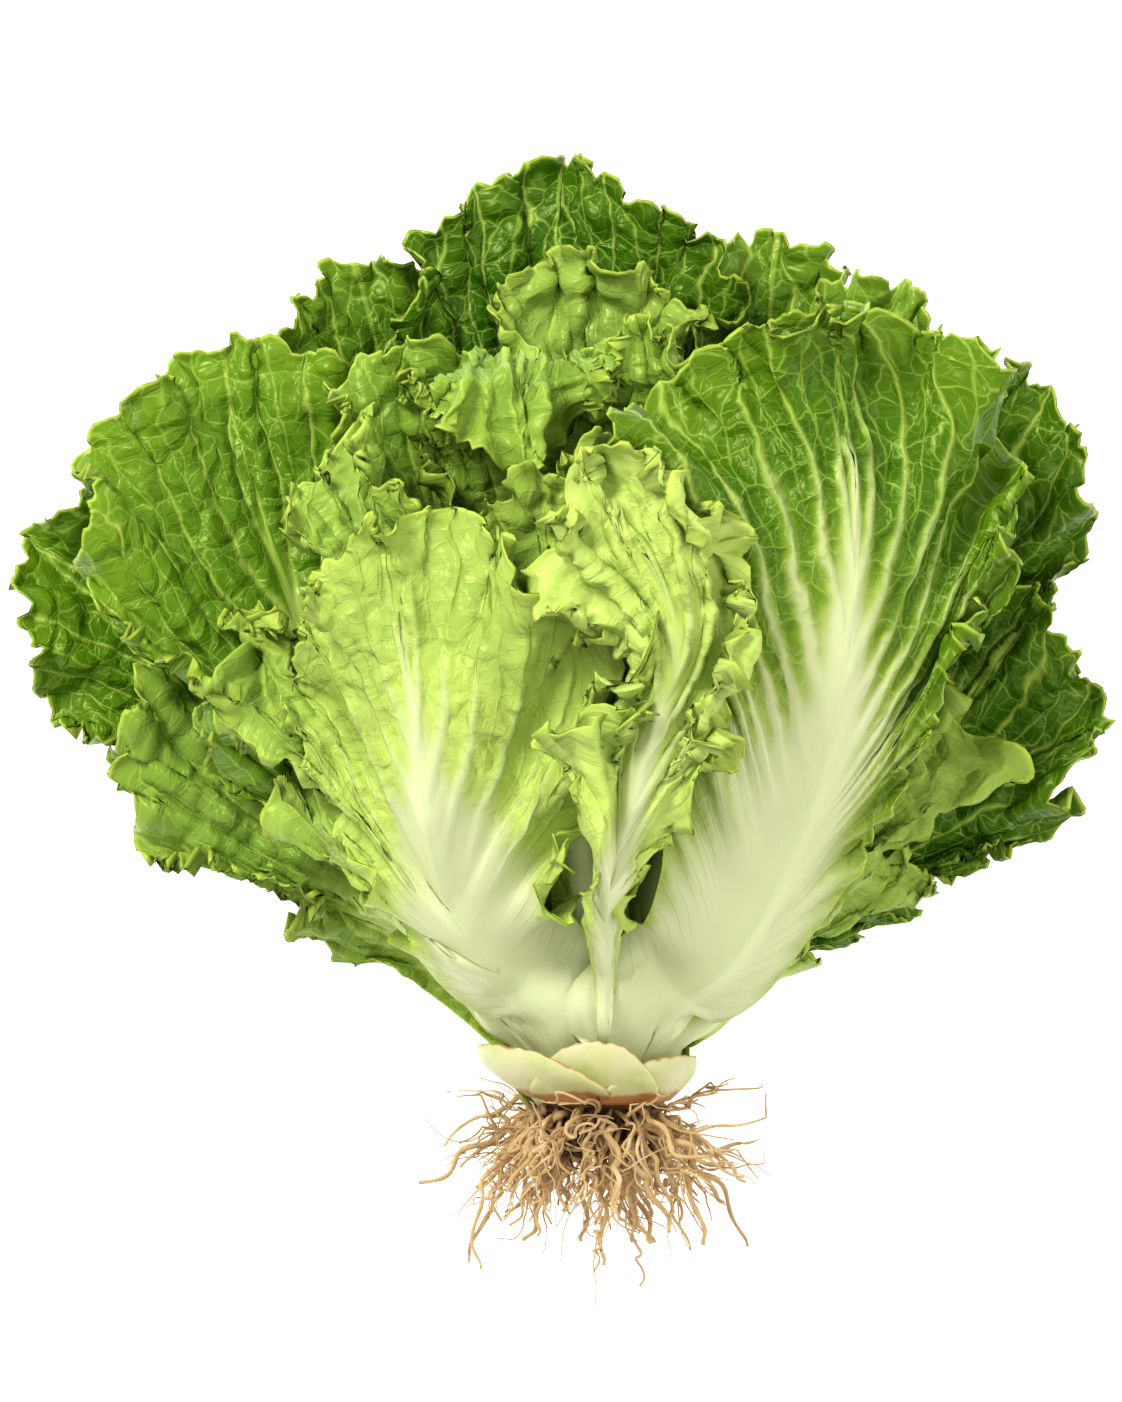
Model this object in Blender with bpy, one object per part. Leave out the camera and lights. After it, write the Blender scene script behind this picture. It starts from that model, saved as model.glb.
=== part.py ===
"""A head of loose-leaf lettuce pulled with its roots, lying on its back.

Metres, +Z up. The plant's axis runs along +Y, from the roots to the leaf tips. The origin is on the
surface that the head lies on, under its middle, where the lowest leaf is pressed flat.
"""

from dataclasses import dataclass

import bpy
import numpy as np

MM = 0.001

# The plant's frame: the crown is where the outer leaves leave the stem
CROWN = np.array([0.0, -0.100, 0.050])

# Leaf blades
BLADE_THICKNESS = 0.0009
RIB_THICKNESS = 0.0026  # what the midrib adds on the outer face, at the leaf's base
RIB_ACROSS = (1.0, 0.22, 0.0)  # share of it in each column, from the rib to the margin
RIB_FADE = 1.15  # it has faded at 1 / this of the leaf's length
RIB_LEAST = 0.06  # share of it that stays at the tip
VEIN_REACH = 0.80  # the last side vein leaves the rib at this share of its length
VEIN_ENDS = (0, 0.20, 0.63, 1.0)  # side veins that end at these shares of the margin
VEIN_STARTS = (0, 0.20, 0.46, 1.0)  # leave the rib at these shares of that reach
SMOOTH_MARGIN = 0.10  # share of the margin, from each end, that has no lobes or waves
EASED_MARGIN = 0.11  # share over which they come in
LOBE_WAVE = 0.0135
LOBE_HEIGHT = 0.0022
LOBE_WANDER = (1.2, 3.5)  # radians by which the lobes shift to and fro, and over how many lobes
RUFFLES = ((0.046, 0.0095, 2.2), (0.021, 0.0042, 5.0))  # wave along the margin, height, fade to the rib
RUFFLE_WANDER = (1.3, 3.7)
RUFFLE_SWELL = (0.35, 5.3)  # share by which the height varies, and over how many waves
RUFFLE_LEAN = 0.45
ROLLED_SHARE = 0.45  # share of the blade, from the margin, that rolls outwards
ROLL_ENDS = (0, 0.18, 0.36, 0.5, 0.64, 0.82, 1)  # shares of the margin between which the roll changes
WIDEST_ARC = 2.3  # radians round the rib that half a blade can bend to
TIGHTEST_RING = 0.003
SHARES = (0.0, 0.15, 0.30, 0.45, 0.60, 0.75, 0.90, 1.0)  # heights at which half widths are given
COMMON = (0.16, 0.20, 0.36, 0.62, 0.88, 1.02, 0.86, 0.0)  # the common leaf's half widths, as shares
COLUMNS = (0.0, 0.5, 1.0)  # from the rib to the margin
ROW_STEPS = (4, 2, 1)  # in each column every 4th, every 2nd and every row of the margin
LEAF_STEPS = 60
LEAVING = (1.5, 9)  # the rib's first stretch, in millimetres: outwards and along the axis
OPENING_SHARE = 0.22  # the base's ring has opened at this share of the length

# How the leaves lie on the surface and on each other
FLOOR_BLEND = 0.004
FLOOR_DIP = 0.0020
LOWEST_BLADE = 0.0004  # height of the middle surface where a blade is pressed flat
CELL = 0.0015
MAP_SIZE = 0.36
CLEARANCE = 0.0012
SMOOTHING_ROUNDS = 2
NESTED = 9  # the bases nest as rings over this length, in millimetres; further on leaves lie on leaves
SAMPLES = 12  # along each edge of a triangle

# Stem and stubs of the leaves that were pulled off
STEM_PROFILE = ((-14, 0), (-14, 12), (-13, 16.2), (-10.5, 17), (-8, 16), (-5.5, 14), (-4.8, 9), (-4.5, 0))
STEM_SIDES = 20
STUBS = (
    # name, azimuth from and to, height from and to, distance from the axis at the foot and at the top
    ("stub_front", -44, 38, -10.5, 1.2, 17.6, 24.0),
    ("stub_left", -112, -50, -10.5, 2.0, 17.6, 24.0),
    ("stub_right", 44, 104, -10.5, 1.0, 17.6, 24.0),
)
STUB_THICKNESS = 2.8  # millimetres, at the foot
STUB_ARCH = 0.75  # share of the height that the top edge falls to its ends

# Roots
ROOT_CROWN_PROFILE = ((-26, 0), (-24, 7), (-20, 12), (-17, 14), (-14.3, 13.5), (-14.3, 0))
ROOT_CROWN_SIDES = 12
ROOT_CROWN_RIPPLE = 0.06
MAIN_ROOTS = 30
BRANCHES = 16
ROOT_SEED = 5
ROOT_TURN = 2.399963  # radians from each root to the next: the golden angle
ROOT_LENGTH = (0.026, 0.042)
ROOT_RADIUS = (0.0009, 0.0015)
ROOT_LEANS = (12, 68)  # degrees from the axis at the middle, and what the outermost adds
ROOT_SIDEWAYS = 0.40  # share by which the outermost are longer where they lie to the sides
ROOT_RING = 0.009  # the outermost roots leave the root crown at this distance from the axis
ROOT_DEPTH = -0.017
ROOT_STEPS = 7
ROOT_BEND = 0.14
BRANCH_STEPS = 5
BRANCH_STEP = (0.0025, 0.0050)

# Colours
LOW_LEAF = -50  # mean height of the rib over the crown, in millimetres
HIGH_LEAF = 60
DARK_GREEN = (0.10, 0.26, 0.02)
LIGHT_GREEN = (0.42, 0.62, 0.14)
STEM_COLOUR = (0.62, 0.62, 0.36)
STUB_COLOUR = (0.66, 0.70, 0.36)
ROOT_COLOUR = (0.42, 0.25, 0.12)


@dataclass
class Leaf:
    """One leaf, in millimetres and degrees, from the crown: x to the right, along the axis, z up.

    start is where it leaves the stem: azimuth, distance from the axis, height along it. An azimuth
    of 0 faces up, 90 to the right, 180 the surface. rib is the rest of the midrib's path. facing is
    the outer face's azimuth at the base, the middle and the tip. left and right are half widths at
    SHARES.
    """

    name: str
    start: tuple
    rib: tuple
    facing: tuple
    left: tuple
    right: tuple
    wrap: tuple = (0.5, 0.5)  # how closely each half follows a ring round the axis
    ruffle: float = 1.0  # share of the full height of the waves
    curl: tuple = (0.0, 0.0, 0.0)  # how far the margin rolls outwards: left side, tip, right side
    rows: int = 32
    seed: int = 0


def common(half_width):
    """Half widths of a leaf of the common outline."""
    return tuple(half_width * share for share in COMMON)


# From the lowest leaf to the one on top: first those under the stem, then those over it
LOWER_LEAVES = (
    Leaf("under_middle", (180, 23, -4), ((0, 36, -40), (-1, 80, -54), (-2, 125, -54), (-3, 168, -49)),
         (180, 180, 180), common(54), common(54), wrap=(0.1, 0.1), ruffle=0.5, rows=24, seed=30),
    Leaf("under_left", (-144, 19, -3), ((-28, 40, -35), (-50, 88, -43), (-70, 130, -41), (-84, 160, -37)),
         (-160, -172, -180), common(46), common(50), wrap=(0.1, 0.3), ruffle=0.5, rows=24, seed=15),
    Leaf("under_right", (144, 19, -3), ((28, 40, -35), (50, 88, -43), (66, 125, -41), (78, 150, -37)),
         (160, 172, 180), common(50), common(46), wrap=(0.3, 0.1), ruffle=0.5, rows=24, seed=16),
    Leaf("back_left", (-152, 13.5, 6), ((-22, 60, -30), (-40, 120, -34), (-54, 168, -28), (-64, 204, -18)),
         (-160, -165, -172), common(46), common(44), ruffle=0.7, seed=14),
    Leaf("back_right", (152, 13.5, 8), ((20, 60, -28), (32, 120, -33), (42, 170, -28), (48, 210, -18)),
         (160, 165, 172), common(42), common(44), ruffle=0.7, seed=12),
    Leaf("back_middle", (180, 12, 13), ((-2, 60, -24), (-6, 120, -30), (-10, 180, -28), (-12, 230, -18)),
         (180, 180, 180), common(50), common(48), ruffle=0.7, seed=13),
    Leaf("left_wide", (-116, 12.4, 5), ((-45, 45, -18), (-82, 85, -20), (-119, 114, -17), (-148, 130, -10)),
         (-150, -155, -165), common(40), common(36), wrap=(0.2, 0.3), ruffle=0.8, seed=8),
    Leaf("right_upper", (116, 12.4, 6), ((40, 55, -14), (68, 110, -15), (86, 145, -11), (98, 182, -4)),
         (150, 155, 165), common(42), common(40), wrap=(0.3, 0.2), ruffle=0.8, seed=11),
    Leaf("right_wide", (106, 16.2, -3), ((42, 30, -14), (72, 65, -17), (94, 90, -15), (110, 116, -10)),
         (150, 145, 155), common(40), common(36), wrap=(0.3, 0.2), ruffle=0.8, seed=10),
    Leaf("right_low", (78, 17.2, -3), ((38, 20, 4), (58, 45, 3), (74, 70, 3), (86, 96, 3)),
         (50, 60, 50), common(27), common(29), wrap=(0.6, 0.5), curl=(20, 10, 0), ruffle=0.9, seed=9),
    Leaf("back_side", (130, 10.2, 14), ((30, 60, -14), (52, 120, -18), (66, 165, -13), (75, 196, -6)),
         (155, 165, 172), common(32), common(32), wrap=(0.3, 0.3), ruffle=0.7, seed=17),
    Leaf("left_low", (-104, 16.2, -4), ((-42, 25, -11), (-70, 55, -13), (-92, 85, -12), (-106, 112, -9)),
         (-150, -140, -150), common(40), common(36), wrap=(0.2, 0.3), ruffle=0.8, seed=4),
    Leaf("left_upper", (-80, 11.0, 10), ((-38, 45, 2), (-66, 88, 4), (-84, 130, 6), (-98, 180, 6)),
         (-145, -150, -160), common(46), common(46), wrap=(0.2, 0.3), ruffle=0.8, seed=6),
    Leaf("left_rolled", (-76, 17.8, -3), ((-38, 25, 5), (-56, 55, 4), (-70, 85, 4), (-86, 114, 3)),
         (-45, -60, -50), common(28), common(24), wrap=(0.5, 0.8), curl=(0, 20, 60), ruffle=0.9, seed=5),
    Leaf("inner_back", (180, 9, 24), ((0, 70, -16), (-2, 120, -18), (-3, 170, -16), (-3, 206, -12)),
         (180, 180, 180), common(36), common(36), ruffle=0.7, seed=18),
    Leaf("inner_left", (-112, 7, 26), ((-24, 60, 4), (-36, 110, 9), (-44, 150, 14), (-50, 180, 16)),
         (-140, -150, -160), common(34), common(30), wrap=(0.4, 0.6), ruffle=0.7, seed=21),
    Leaf("inner_right", (95, 10, 20), ((16, 60, 6), (19, 110, 13), (15, 150, 20), (8, 184, 26)),
         (125, 140, 155), common(32), common(32), wrap=(0.6, 0.4), ruffle=0.7, seed=20),
    Leaf("inner_hood", (180, 6, 30), ((-12, 66, 4), (-20, 110, 8), (-20, 150, 20), (-20, 174, 34),
                                      (-20, 170, 52), (-20, 146, 58)),
         (180, 180, 180), common(24), common(26), wrap=(0.4, 0.4), ruffle=0.7, seed=19),
    Leaf("heart_back", (20, 4, 40), ((2, 60, 6), (2, 90, 10), (2, 130, 14), (2, 155, 18)),
         (170, 170, 170), common(20), common(20), wrap=(0.8, 0.8), ruffle=0.4, rows=24, seed=24),
)
UPPER_LEAVES = (
    Leaf("heart_front", (20, 7.5, 32), ((8, 55, 16), (12, 90, 24), (14, 120, 28), (14, 140, 28)),
         (20, 40, 30), common(20), common(20), wrap=(0.8, 0.8), ruffle=0.4, rows=24, seed=23),
    Leaf("inner_front", (-10, 11, 20), ((-6, 55, 28), (-10, 90, 35), (-12, 120, 38), (-14, 145, 38)),
         (-10, 0, -5), common(26), common(24), wrap=(0.9, 0.9), ruffle=0.6, seed=22),
    Leaf("left_inner", (-48, 12.3, 7), ((-34, 50, 22), (-48, 95, 28), (-56, 130, 29), (-60, 157, 27)),
         (-35, -50, -60), common(24), common(26), wrap=(0.7, 0.9), curl=(0, 40, 0), ruffle=0.8, seed=7),
    Leaf("front_left", (-34, 16.2, 4), ((-30, 27, 31), (-40, 52, 42), (-45, 85, 48),
                                        (-49, 110, 49), (-54, 132, 45)),
         (-28, -28, -20), (11, 14, 16, 22, 30, 32, 22, 0), (11, 20, 30, 38, 46, 48, 34, 0),
         wrap=(0.7, 0.5), ruffle=0.9, curl=(20, 40, 30), seed=3),
    Leaf("front_right", (36, 16.2, 4), ((30, 25, 33), (47, 57, 47), (58, 92, 55), (61, 125, 59),
                                         (60, 152, 57), (51, 184, 47)),
         (30, 30, 20), (11, 20, 30, 40, 50, 60, 56, 0), (11, 16, 20, 24, 30, 44, 42, 0),
         ruffle=0.9, curl=(0, 40, 20), seed=2),
    Leaf("front_frill", (2, 30, 12), ((1, 28, 38), (2, 46, 48), (10, 75, 58), (18, 102, 64),
                                      (10, 125, 66), (-4, 147, 58)),
         (2, 10, 0), (3, 5, 7, 10, 13, 16, 17, 0), (3, 5, 8, 11, 14, 16, 15, 0),
         wrap=(0.3, 0.3), curl=(20, 30, 20), seed=1),
)


def smooth_step(t):
    """0 below 0, 1 above 1 and a cubic ease between."""
    t = np.clip(t, 0.0, 1.0)
    return t * t * (3.0 - 2.0 * t)


def curve_through(points, before, after, count):
    """count points evenly spaced along a Catmull-Rom curve, and its length."""
    p = np.vstack([before, points, after])
    t = np.linspace(0, 1, 20, endpoint=False)[:, None]
    pieces = [
        0.5 * (2 * b + (c - a) * t + (2 * a - 5 * b + 4 * c - d) * t**2 + (3 * b - a - 3 * c + d) * t**3)
        for a, b, c, d in zip(p, p[1:], p[2:], p[3:])
    ]
    fine = np.vstack(pieces + [p[-2:-1]])
    arc = np.concatenate([[0], np.cumsum(np.linalg.norm(np.diff(fine, axis=0), axis=1))])
    even = np.linspace(0, arc[-1], count)
    return np.column_stack([np.interp(even, arc, fine[:, k]) for k in range(p.shape[1])]), arc[-1]


def half_outline(widths, length, rows):
    """Points along half of a flat leaf's margin from its base to its tip, and their arc length."""
    p = np.column_stack([np.array(widths) * MM, np.array(SHARES) * length])
    mirrored = p[-2] * (-1, 1)
    return curve_through(p, 2 * p[0] - p[1], mirrored, rows + 1)


def leaf_surface(leaf, columns):
    """The leaf's middle surface, as an array [2 * rows + 1, columns, 3].

    Rows run from the rib to the margin as the side veins do: up the left side, through the tip and
    down the right side. The flat blade is laid on the rib's curve with an arc across it, its margin
    is rolled outwards, and waves that grow towards the margin ruffle it.
    """
    rng = np.random.default_rng(leaf.seed)
    rib = rib_points(leaf)
    line, length = curve_through(rib, 2 * rib[0] - rib[1], 2 * rib[-1] - rib[-2], LEAF_STEPS)
    left, left_arc = half_outline(leaf.left, length, leaf.rows)
    right, right_arc = half_outline(leaf.right, length, leaf.rows)
    share = np.linspace(0, 1, leaf.rows + 1)
    rib_y = VEIN_REACH * length * np.interp(share, VEIN_ENDS, VEIN_STARTS)
    anchor = np.concatenate([rib_y, rib_y[-2::-1]])
    margin = np.vstack([left * (-1, 1), right[-2::-1]])
    s = np.concatenate([share * left_arc, left_arc + share[1:] * right_arc])
    c = np.asarray(columns)[None, :]

    # Lobes of the margin, in the plane of the blade; none near the base
    away = np.column_stack([margin[:, 0], margin[:, 1] - anchor])
    reach = np.linalg.norm(away, axis=1)
    ease = smooth_step((np.minimum(s, s[-1] - s) / s[-1] - SMOOTH_MARGIN) / EASED_MARGIN)
    lobe = np.sin(wandering(s, LOBE_WAVE, LOBE_WANDER, *rng.uniform(0, 2 * np.pi, 2)))
    growth = 1 + (ease * LOBE_HEIGHT * lobe / reach)[:, None] * c**4
    x = margin[:, 0][:, None] * c * growth
    y = anchor[:, None] + away[:, 1][:, None] * c * growth
    points, rough_normals = place_on_rib(leaf, line, length, x, y)

    # The margin's strip rolled round a cylinder
    along = np.gradient(points, axis=1)
    along /= np.maximum(np.linalg.norm(along, axis=2, keepdims=True), 1e-9)
    left_curl, tip_curl, right_curl = leaf.curl
    rolls = (0, left_curl, left_curl, tip_curl, right_curl, right_curl, 0)
    roll = np.radians(np.interp(s / s[-1], ROLL_ENDS, rolls))
    strip = ROLLED_SHARE * reach
    inside = np.maximum(0, strip[:, None] - (1 - c) * reach[:, None])
    radius = (strip / np.maximum(roll, 1e-3))[:, None]
    points = points + rough_normals * (radius * (1 - np.cos(inside / radius)))[..., None]
    points = points - along * (inside - radius * np.sin(inside / radius))[..., None]

    # Ruffles that lean over themselves
    normals = grid_normals(points, rough_normals)
    tangent = np.gradient(points, axis=0)
    tangent /= np.maximum(np.linalg.norm(tangent, axis=2, keepdims=True), 1e-9)
    for wave, height, fade in RUFFLES:
        phase, drift = rng.uniform(0, 2 * np.pi, 2)
        turn = wandering(s, wave, RUFFLE_WANDER, phase, drift)
        swell = 1 + RUFFLE_SWELL[0] * np.sin(2 * np.pi * s / (RUFFLE_SWELL[1] * wave) + 2 * drift)
        growth = leaf.ruffle * ease[:, None] * c**fade
        lift = height * (swell * np.sin(turn))[:, None] * growth
        lean = -RUFFLE_LEAN * wave / (2 * np.pi) * np.sin(2 * turn)[:, None] * growth
        points = points + normals * lift[..., None] + tangent * lean[..., None]

    points = points + CROWN
    points[..., 2] = above_floor(points[..., 2])
    return points


def wandering(s, wave, wander, phase, drift):
    """Phase of a wave along the margin whose length varies: 2 pi s / wave + a sin(2 pi s / (b wave))."""
    shift, period = wander
    return 2 * np.pi * s / wave + shift * np.sin(2 * np.pi * s / (period * wave) + drift) + phase


def rib_points(leaf):
    """The points that the midrib's curve passes through: it leaves the stem nearly along it."""
    azimuth, distance, height = leaf.start
    outward = np.array([np.sin(np.radians(azimuth)), 0, np.cos(np.radians(azimuth))])
    first = outward * distance + (0, height, 0)
    second = first + outward * LEAVING[0] + (0, LEAVING[1], 0)
    return np.vstack([first, second, leaf.rib]) * MM


def place_on_rib(leaf, line, length, x, y):
    """Carries flat leaf points to the plant: along the rib's curve, on an arc across it.

    At the base the arc is a ring round the stem. Further up it opens as far as wrap says.
    """
    steps = np.linspace(0, length, len(line))
    tangent = np.gradient(line, axis=0)
    tangent /= np.linalg.norm(tangent, axis=1, keepdims=True)
    azimuth = np.radians(np.interp(steps / length, (0, 0.5, 1), leaf.facing))
    outward = np.column_stack([np.sin(azimuth), np.zeros_like(azimuth), np.cos(azimuth)])
    face = outward - np.sum(outward * tangent, axis=1, keepdims=True) * tangent
    face /= np.linalg.norm(face, axis=1, keepdims=True)
    # Where the rib bends past the upright its outer face goes on bending with it
    turned_over = np.sign(np.sum(face[1:] * face[:-1], axis=1, keepdims=True))
    face[1:] *= np.cumprod(turned_over, axis=0)
    across = np.cross(tangent, face)
    from_axis = np.maximum(np.linalg.norm(line[:, [0, 2]], axis=1), TIGHTEST_RING)

    def at(values):
        return np.stack([np.interp(y, steps, values[:, k]) for k in range(3)], axis=-1)

    opening = smooth_step(y / (OPENING_SHARE * length))
    wrap = 1 + (np.where(x < 0, leaf.wrap[0], leaf.wrap[1]) - 1) * opening
    bend = wrap / np.interp(y, steps, from_axis)
    angle = WIDEST_ARC * np.tanh(x * bend / WIDEST_ARC)
    past_end = y - np.clip(y, 0, length)
    points = at(line) + at(tangent) * past_end[..., None]
    points = points + at(across) * (np.sin(angle) / bend)[..., None]
    points = points - at(face) * ((1 - np.cos(angle)) / bend)[..., None]
    return points, at(face) * np.cos(angle)[..., None] + at(across) * np.sin(angle)[..., None]


def grid_normals(points, like):
    """Unit normals of a grid of points, on the same side as the rough ones."""
    n = np.cross(np.gradient(points, axis=0), np.gradient(points, axis=1))
    n *= np.sign(np.sum(n * like, axis=-1, keepdims=True))
    short = np.linalg.norm(n, axis=-1, keepdims=True) < 1e-14
    n = np.where(short, like, n)
    return n / np.linalg.norm(n, axis=-1, keepdims=True)


def above_floor(z):
    """Heights bent so that nothing sinks into the surface; what would is pressed flat on it."""
    return np.maximum(FLOOR_BLEND * np.logaddexp(0, z / FLOOR_BLEND) - FLOOR_DIP, LOWEST_BLADE)


def leaf_cells(rows):
    """The blade's triangles, as (column, row) corners, and its edge as a closed loop of the same.

    The middle of the blade has fewer points than its margin, so a cell may have two outer edges.
    """
    last = 2 * rows
    triangles = []
    for k in range(len(COLUMNS) - 1):
        wide, narrow = ROW_STEPS[k], ROW_STEPS[k + 1]
        for r in range(0, rows, wide):
            inner = [(k, r), (k, r + wide)]
            outer = [(k + 1, row) for row in range(r, r + wide + 1, narrow)]
            fan = [(inner[0], outer[1], outer[0]), (inner[0], inner[1], outer[1])]
            fan.append((inner[1], outer[2], outer[1]))
            for a, b, d in fan:
                mirrored = [(col, last - row) for col, row in (a, d, b)]
                triangles += [(a, b, d), tuple(mirrored)]
    top = len(COLUMNS) - 1
    edge = [(top, row) for row in range(last + 1)]
    edge += [(k, last) for k in range(top - 1, 0, -1)]
    edge += [(k, 0) for k in range(top)]
    return triangles, edge


class Sheet:
    """A leaf's middle surface as a triangle mesh."""

    def __init__(self, leaf):
        self.leaf = leaf
        triangles, edge = leaf_cells(leaf.rows)
        last = 2 * leaf.rows

        def welded(corner):
            column, row = corner
            return (column, min(row, last - row)) if column == 0 else corner

        names = sorted({welded(corner) for triangle in triangles for corner in triangle})
        number = {name: i for i, name in enumerate(names)}
        self.triangles = np.array([[number[welded(corner)] for corner in corners] for corners in triangles])
        self.edge = np.array([number[welded(corner)] for corner in edge])
        self.column = np.array([column for column, row in names])
        self.row = np.array([row for column, row in names])
        self.points = leaf_surface(leaf, COLUMNS)[self.row, self.column]
        self.up_the_rib = np.minimum(self.row, last - self.row) / leaf.rows

    def normals(self):
        """Area-weighted normals at the points."""
        corners = self.points[self.triangles]
        flat = np.cross(corners[:, 1] - corners[:, 0], corners[:, 2] - corners[:, 0])
        n = np.zeros_like(self.points)
        for k in range(3):
            np.add.at(n, self.triangles[:, k], flat)
        return n / np.linalg.norm(n, axis=1, keepdims=True)

    def rib_height(self):
        """What the midrib adds to the blade: most at the base, none at the margin."""
        along = np.clip(1 - RIB_FADE * self.up_the_rib, RIB_LEAST, 1)
        return RIB_THICKNESS * along * np.array(RIB_ACROSS)[self.column]

    def resting(self, points):
        """0 at the leaf's base, which keeps its place on the stem, and 1 where it lies on others."""
        return smooth_step(((points[..., 1] - CROWN[1]) / MM - self.leaf.start[2]) / NESTED)

    def raise_by(self, need):
        """Raises the points by a smooth amount that is nowhere under what each one needs."""
        resting = self.resting(self.points)
        need = np.maximum(need, 0)
        lift = need
        ends = np.vstack([self.triangles[:, [0, 1]], self.triangles[:, [1, 2]], self.triangles[:, [2, 0]]])
        count = np.bincount(ends.ravel(), minlength=len(lift))
        for _ in range(SMOOTHING_ROUNDS):
            total = np.zeros_like(lift)
            np.add.at(total, ends[:, 0], lift[ends[:, 1]])
            np.add.at(total, ends[:, 1], lift[ends[:, 0]])
            lift = np.maximum(need, resting * (0.5 * lift + 0.5 * total / count))
        self.points[:, 2] += lift


class HeightMap:
    """The top of everything laid down so far, in square cells seen from above."""

    def __init__(self):
        self.side = round(MAP_SIZE / CELL)
        self.top = np.zeros((self.side, self.side))

    def cells(self, points):
        index = np.floor((points[..., :2] + MAP_SIZE / 2) / CELL).astype(int)
        return tuple(np.moveaxis(np.clip(index, 0, self.side - 1), -1, 0))

    def under(self, points):
        """The highest top in the cell of each point and in the cells round it."""
        padded = np.pad(self.top, 1)
        shifts = [(i, j) for i in range(3) for j in range(3)]
        spread = np.max([padded[i:i + self.side, j:j + self.side] for i, j in shifts], axis=0)
        return spread[self.cells(points)]

    def add(self, points, extra):
        np.maximum.at(self.top, self.cells(points), points[..., 2] + extra)


def samples_of(points, triangles):
    """Points spread over each triangle, as an array [triangles, samples, 3], and their weights."""
    weights = [(i, j, SAMPLES - i - j) for i in range(SAMPLES + 1) for j in range(SAMPLES + 1 - i)]
    weights = np.array(weights) / SAMPLES
    return np.einsum("sk,tkx->tsx", weights, points[triangles]), weights


def lay_on(heights, sheet):
    """Lays a leaf on those already down, raised where it would pass through them."""
    upward = sheet.normals()[:, 2] * outward_sign(sheet) > 0
    rib = sheet.rib_height()
    above, below = np.where(upward, rib, 0), np.where(upward, 0, rib)
    spots, weights = samples_of(sheet.points, sheet.triangles)
    space = BLADE_THICKNESS + CLEARANCE + below[sheet.triangles] @ weights.T
    short = ((heights.under(spots) + space - spots[..., 2]) * sheet.resting(spots)).max(axis=1)
    # A leaf over the bare surface isn't raised
    short = np.where(heights.under(spots).max(axis=1) > 0, short, 0)
    need = np.zeros(len(sheet.points))
    for k in range(3):
        np.maximum.at(need, sheet.triangles[:, k], short)
    sheet.raise_by(need)
    spots, weights = samples_of(sheet.points, sheet.triangles)
    heights.add(spots, above[sheet.triangles] @ weights.T)


def outward_sign(sheet):
    """1 where the triangles' winding gives outward normals, else -1."""
    middle = np.radians(sheet.leaf.facing[1])
    outward = np.array([np.sin(middle), 0, np.cos(middle)])
    return 1.0 if (sheet.normals() @ outward).sum() > 0 else -1.0


def leaf_solid(sheet):
    """Vertices and faces of the closed leaf: two faces triangulated alike, and a narrow edge."""
    sign = outward_sign(sheet)
    n = sheet.normals() * sign
    outer = sheet.points + n * (BLADE_THICKNESS / 2 + sheet.rib_height())[:, None]
    inner = sheet.points - n * (BLADE_THICKNESS / 2)
    count = len(sheet.points)
    front = sheet.triangles if sign > 0 else sheet.triangles[:, ::-1]
    vertices = np.vstack([outer, inner])
    vertices[:, 2] = np.maximum(vertices[:, 2], 0)
    a, b = sheet.edge, np.roll(sheet.edge, -1)
    side = np.vstack([np.column_stack([a, b, b + count]), np.column_stack([a, b + count, a + count])])
    faces = np.vstack([front, front[:, ::-1] + count, side if sign > 0 else side[:, ::-1]])
    return vertices, faces


def ring_solid(profile, sides, ripple=0.0):
    """A solid turned round the plant's axis from (height, radius) pairs in millimetres.

    ripple is the share by which its radius varies round it.
    """
    angles = np.linspace(0, 2 * np.pi, sides, endpoint=False)
    vertices = [(0, profile[0][0], 0)]
    for height, radius in profile[1:-1]:
        r = radius * (1 + ripple * np.sin(3 * angles + height))
        vertices += list(np.column_stack([r * np.sin(angles), np.full(sides, height), r * np.cos(angles)]))
    vertices.append((0, profile[-1][0], 0))
    faces = []
    rings = len(profile) - 2
    for k in range(sides):
        following = (k + 1) % sides
        faces.append((0, 1 + following, 1 + k))
        for ring in range(rings - 1):
            a, b = 1 + ring * sides + k, 1 + ring * sides + following
            faces.append((a, b, b + sides, a + sides))
        faces.append((len(vertices) - 1, 1 + (rings - 1) * sides + k, 1 + (rings - 1) * sides + following))
    return np.array(vertices) * MM + CROWN, faces


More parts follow.
